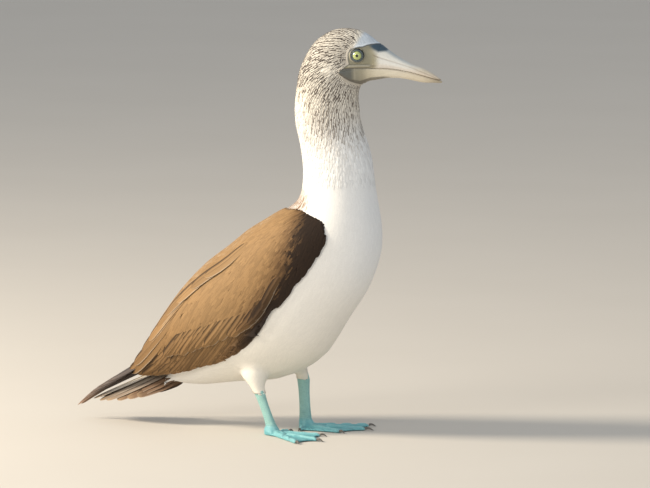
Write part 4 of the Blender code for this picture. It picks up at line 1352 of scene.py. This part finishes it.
def primary_base(start):
    vane = start.attribute("vane", "Vector")
    across = vane.parts()[0]
    barbs = fine_barbs(vane, 5, 0.8)
    tint = barbs.shaded(start.attribute("tint", "Color"), 0.6, 1.5)
    return (across.size().step(0.1, 0.0) * 0.4).blended(tint, solid(*PRIMARY_SHAFT))


primary_finish = finish("primaries", primary_base, 0.42, barb_bump, 0.3, 0.3)

wing_lie = lie_field(WING_LIE)
for side_name, side in SIDES:
    sheet_points, sheet_faces, sheet_tree = wing_sheet(side)
    make_wing_core(side_name, sheet_tree)
    tier("secondaries_" + side_name, SECONDARIES, side, [-1.2, 0.3, 1.2], darker=0.85)
    tier("greater_coverts_" + side_name, GREATER_COVERTS, side, [-1.0, 1.3, 2.4], darker=0.95)
    tier("tertials_" + side_name, TERTIALS, side, [-0.5, 1.8, 3.0], darker=0.95)
    wing_tip("primaries_" + side_name, side)
    roots = sown(sheet_points, sheet_faces, COVERT_TRIES, covert_spacing, covert_area, wing_lie, 2.6)
    coat("coverts_" + side_name, roots, sheet_tree, wing_lie, 1.15, 8.0, BODY_SHAPE, 0.05, 0.10 * MM,
         covert_finish, wing_colours, covert_spacing, 4)

# Tail
# Twelve graduated tail feathers, roofed outwards from the middle pair. The middle ones are
# whitish along the shaft and brown at the tip, the outer ones darker brown with pale edges.
TAIL_FEATHERS = [
    ((-176, 3.5, 84), (-300, 6, 28)), ((-176, 6, 81), (-288, 12, 28)), ((-176, 9, 77), (-275, 18, 31)),
    ((-176, 12, 72), (-257, 23, 34)), ((-176, 14, 67), (-240, 27, 39)), ((-176, 15, 62), (-225, 29, 44)),
]
TAIL_HALF_WIDTH = 8.6
TAIL_LAYER = 1.15         # from each feather down to the next, millimetres
TAIL_STAGGER = 0.5        # by which the left half lies lower, so that the middle pair overlaps
TAIL_WHITENESS = [0.95, 0.25, 0.1, 0, 0, 0]
TAIL_WHITE = (0.70, 0.63, 0.52)
TAIL_BROWN = (0.16, 0.095, 0.055)
TAIL_GREY = (0.22, 0.185, 0.15)
TAIL_TIP = (0.34, 0.23, 0.13)


def make_tail(side_name, side):
    shares = np.array([s for s, _ in ROUND_SHAPE])
    places, normals, tints = [], [], []
    for i, (root, tip) in enumerate(TAIL_FEATHERS):
        out = np.array([0.3, side * (0.2 + 0.09 * i), 0.9])
        out /= np.linalg.norm(out)
        drop = out * (i * TAIL_LAYER + (TAIL_STAGGER if side > 0 else 0.0))
        way = np.array(root) + (np.array(tip) - np.array(root)) * shares[:, None]
        places.append((way * (1, side, 1) - drop) * MM + np.array(STAND_POINT))
        normals.append(np.broadcast_to(out, (len(shares), 3)))
        colour = mixed(TAIL_BROWN, TAIL_GREY, np.full(len(shares), 0.5 * (i < 3)))
        whitish = TAIL_WHITENESS[i] * smooth(0.98, 0.6, shares)
        colour = mixed(colour, TAIL_WHITE, whitish)
        tints.append(mixed(colour, TAIL_TIP, 0.7 * smooth(0.8, 1.0, shares)))
    count = len(places)
    widths = np.full(count, TAIL_HALF_WIDTH * MM)
    return plumes("tail_feathers_" + side_name, np.array(places), np.array(normals), widths, ROUND_SHAPE,
                  np.zeros((count, len(shares))), FLIGHT_THICK, FLIGHT_COLUMNS, np.array(tints),
                  np.zeros(count), np.zeros((count, 3)), vane_finish, 0.05)


for side_name, side in SIDES:
    tail = make_tail(side_name, side)
    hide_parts("tail")

# Legs and feet
# Bare turquoise legs and fully webbed feet. The shank is scaled and wrinkles above the ankle; the
# toes carry cross scutes and knuckles, and the web falls in fine folds that fan from the ankle.
FOOT_VOXEL = 0.8 * MM
SHANK_ROOT = 9 * MM       # how far the shank runs up into the feathered thigh
ANKLES = {"right": (46, -29), "left": (61, 47)}
HEADINGS = {"right": math.radians(-20), "left": math.radians(6)}
TOES = {"outer": (-23, 84), "middle": (0, 83), "inner": (29, 66), "hind": (86, 31)}
TOE_HALF_WIDTH = 3.8
WEB_BLUE = (0.145, 0.42, 0.455)
TOE_BLUE = (0.27, 0.56, 0.57)
SHANK_BLUE = (0.30, 0.53, 0.49)
CREASE_BLUE = (0.06, 0.22, 0.26)
CLAW_DARK = (0.05, 0.05, 0.05)
CLAW_LIGHT = (0.20, 0.18, 0.15)
CLAW_EDGE = 0.25 * MM
LEG_GROW = 0.2 * MM


def in_foot(points, side_name):
    """Points as millimetres forward of the ankle, towards the other foot, and above the floor."""
    heading = HEADINGS[side_name]
    turn = np.array([[math.cos(heading), math.sin(heading)], [-math.sin(heading), math.cos(heading)]])
    plan = (points[..., :2] / MM - np.array(ANKLES[side_name])) @ turn.T
    inward = plan[..., 1] if side_name == "right" else -plan[..., 1]
    return plan[..., 0], inward, points[..., 2] / MM


def toe_field(x, y):
    """How near points are to the middle of a toe, and how far along that toe they are."""
    nearness, place, share = np.zeros_like(x), np.zeros_like(x), np.zeros_like(x)
    for degrees, length in TOES.values():
        a = math.radians(degrees)
        along = x * math.cos(a) + y * math.sin(a)
        across = y * math.cos(a) - x * math.sin(a)
        near = np.exp(-(across / (TOE_HALF_WIDTH * 0.75)) ** 2) * smooth(-4, 6, along)
        closer = near > nearness
        nearness = np.where(closer, near, nearness)
        place = np.where(closer, along, place)
        share = np.where(closer, along / length, share)
    return nearness, place, share


def foot_relief(x, y, z):
    """Height of scutes, knuckles, web folds and shank wrinkles, in millimetres."""
    near, along, share = toe_field(x, y)
    foot = smooth(15, 10, z)
    knuckles = sum(np.exp(-((share - at) / 0.05) ** 2) for at in (0.4, 0.66, 0.9))
    scutes = 0.10 * np.sin(along * 2 * math.pi / 2.3) * near
    angle = np.degrees(np.arctan2(y, x))
    reach = np.hypot(x, y)
    folds = np.sin(np.radians(angle) * 34 + 0.6 * np.sin(reach / 9)) + 0.5 * np.sin(np.radians(angle) * 71)
    folds = 0.24 * folds * smooth(10, 26, reach) * (1 - near)
    wrinkles = 0.20 * np.sin(z * 2 * math.pi / 2.6 + 0.5 * np.sin(angle / 20)) * smooth(9, 13, z)
    wrinkles *= smooth(34, 20, z)
    return (scutes + 0.45 * knuckles * near) * foot + folds * foot + wrinkles


def foot_colours(x, y, z):
    near, along, share = toe_field(x, y)
    foot = smooth(16, 9, z)
    web = mixed(WEB_BLUE, TOE_BLUE, 0.85 * near)
    colour = mixed(SHANK_BLUE, web, foot)
    # Painted shade: darker blue wherever the relief sinks, in the creases of folds, scutes and wrinkles.
    relief = foot_relief(x, y, z)
    return mixed(colour, CREASE_BLUE, 0.55 * smooth(-0.05, -0.28, relief))


def leg_scales(place):
    """How far each point is from the edge of its scale."""
    sockets = {"Vector": place, "Scale": 620}
    return place.node("ShaderNodeTexVoronoi", {"feature": "DISTANCE_TO_EDGE"}, sockets)


def leg_base(start):
    place = object_place(start)
    tint = place.noise(160, 3).shaded(start.attribute("tint", "Color"), 0.84, 1.14)
    scales = leg_scales(place)
    return (scales.step(0.10, 0.0) * 0.35).blended(tint, solid(*CREASE_BLUE))


def leg_bump(start):
    place = object_place(start)
    return leg_scales(place).step(0.0, 0.22) + place.noise(2200, 2) * 0.3


def leg_roughness(start):
    return object_place(start).noise(400, 2) * 0.2 + 0.38


def claw_base(start):
    return object_place(start).noise(500, 2).blended(solid(*CLAW_DARK), solid(*CLAW_LIGHT))


leg_finish = finish("blue leg skin", leg_base, leg_roughness, leg_bump, 0.35, 0.4)
claw_finish = finish("claw horn", claw_base, 0.35)


def make_leg(side_name):
    nodes = ["tarsus_" + side_name, "foot_" + side_name]
    bm = merged_copy(nodes, LEG_GROW)
    centre, lean, _ = shank_top(points_of(bm))
    for vert in bm.verts:
        if vert.co.z > centre[2] - 0.6 * MM:
            vert.co = Vector(centre) + (vert.co - Vector(centre)) * 0.7 + Vector(lean) * SHANK_ROOT
    leg, bm = fused("leg_" + side_name, bm, FOOT_VOXEL)
    relax(bm, 4)
    bm.normal_update()
    relief = foot_relief(*in_foot(points_of(bm), side_name))
    for vert, step in zip(bm.verts, relief):
        if vert.normal.z > -0.3:
            vert.co += vert.normal * float(step) * MM
        vert.co.z = max(vert.co.z, 0.0)
    closed(leg, bm)
    add_colours(leg.data, "tint", foot_colours(*in_foot(mesh_points(leg), side_name)))
    set_material(leg, leg_finish)
    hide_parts(*nodes)
    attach(leg, "root")


def make_claws(side_name):
    nodes = ["claw_{}_{}".format(side_name, toe) for toe in TOES]
    claws = new_object("claws_" + side_name, bpy.data.meshes.new("claws_" + side_name))
    bm = merged_copy(nodes)
    bmesh.ops.bevel(bm, geom=bm.edges[:], affect="EDGES", offset=CLAW_EDGE, segments=2, profile=0.5,
                    material=-1)
    closed(claws, bm)
    set_material(claws, claw_finish)
    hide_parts(*nodes)
    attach(claws, "root")


for side_name in ("right", "left"):
    make_leg(side_name)
    make_claws(side_name)

# Stage, lights and camera
# A pale floor that runs to a pale horizon, a strong soft light from the left, two weaker ones from
# the front and the right, and a long lens at the photograph's angle, so that the view is nearly parallel.
AZIMUTH, ELEVATION = math.radians(24), math.radians(7)
MM_PER_PIXEL = 1.32 * MM
WIDE_PIXELS = 650
VIEW_RIGHT, VIEW_UP = 33 * MM, 248 * MM
DISTANCE = 9.0
SENSOR = 36.0
VIEW_END = 60
FLOOR_RADIUS = 14
FLOOR_DROP = 0.0002
FLOOR_DARK = (0.60, 0.56, 0.50)
FLOOR_LIGHT = (0.63, 0.59, 0.53)
SKY_COLOUR = (0.86, 0.90, 0.95)
SKY_STRENGTH = 0.56
# Each light: name, place, the point that it faces, width, power in watts and colour.
LIGHTS = [
    ("key", (-2.7, -1.35, 1.9), (0.05, 0, 0.25), 0.9, 175, (1.0, 0.89, 0.73)),
    ("front", (-1.3, -3.2, 1.5), (0.05, 0, 0.3), 1.2, 34, (1.0, 0.93, 0.82)),
    ("fill", (2.4, -2.6, 1.4), (0.05, 0, 0.25), 2.0, 18, (0.90, 0.95, 1.0)),
]


def floor_base(start):
    return object_place(start).noise(3, 2).blended(solid(*FLOOR_DARK), solid(*FLOOR_LIGHT))


bm = bmesh.new()
bmesh.ops.create_circle(bm, cap_ends=True, segments=96, radius=FLOOR_RADIUS)
floor = new_object("floor", bpy.data.meshes.new("floor"))
bm.to_mesh(floor.data)
bm.free()
floor.location.z = -FLOOR_DROP
set_material(floor, finish("pale floor", floor_base, 0.8))

world = bpy.data.worlds.new("studio")
world.use_nodes = True
sky = world.node_tree.nodes["Background"]
sky.inputs["Color"].default_value = solid(*SKY_COLOUR)
sky.inputs["Strength"].default_value = SKY_STRENGTH
bpy.context.scene.world = world
bpy.context.scene.view_settings.view_transform = "Standard"


def soft_light(name, place, aim, width, power, colour):
    light = bpy.data.lights.new(name, "AREA")
    light.shape = "DISK"
    light.size = width
    light.energy = power
    light.color = colour
    obj = bpy.data.objects.new(name, light)
    bpy.context.scene.collection.objects.link(obj)
    obj.location = place
    obj.rotation_euler = (Vector(aim) - Vector(place)).to_track_quat("-Z", "Y").to_euler()


for light in LIGHTS:
    soft_light(*light)

right = Vector((math.cos(AZIMUTH), math.sin(AZIMUTH), 0))
back = Vector((math.sin(AZIMUTH) * math.cos(ELEVATION), -math.cos(AZIMUTH) * math.cos(ELEVATION),
               math.sin(ELEVATION)))
up = back.cross(right)
middle = STAND_POINT + right * VIEW_RIGHT + up * VIEW_UP
camera = bpy.data.cameras.new("camera")
camera.sensor_width = SENSOR
camera.lens = SENSOR * DISTANCE / (WIDE_PIXELS * MM_PER_PIXEL)
camera.clip_end = VIEW_END
camera_object = bpy.data.objects.new("camera", camera)
bpy.context.scene.collection.objects.link(camera_object)
camera_object.matrix_world = Matrix.Translation(middle + back * DISTANCE) @ Matrix(
    (right, up, back)).transposed().to_4x4()
bpy.context.scene.camera = camera_object
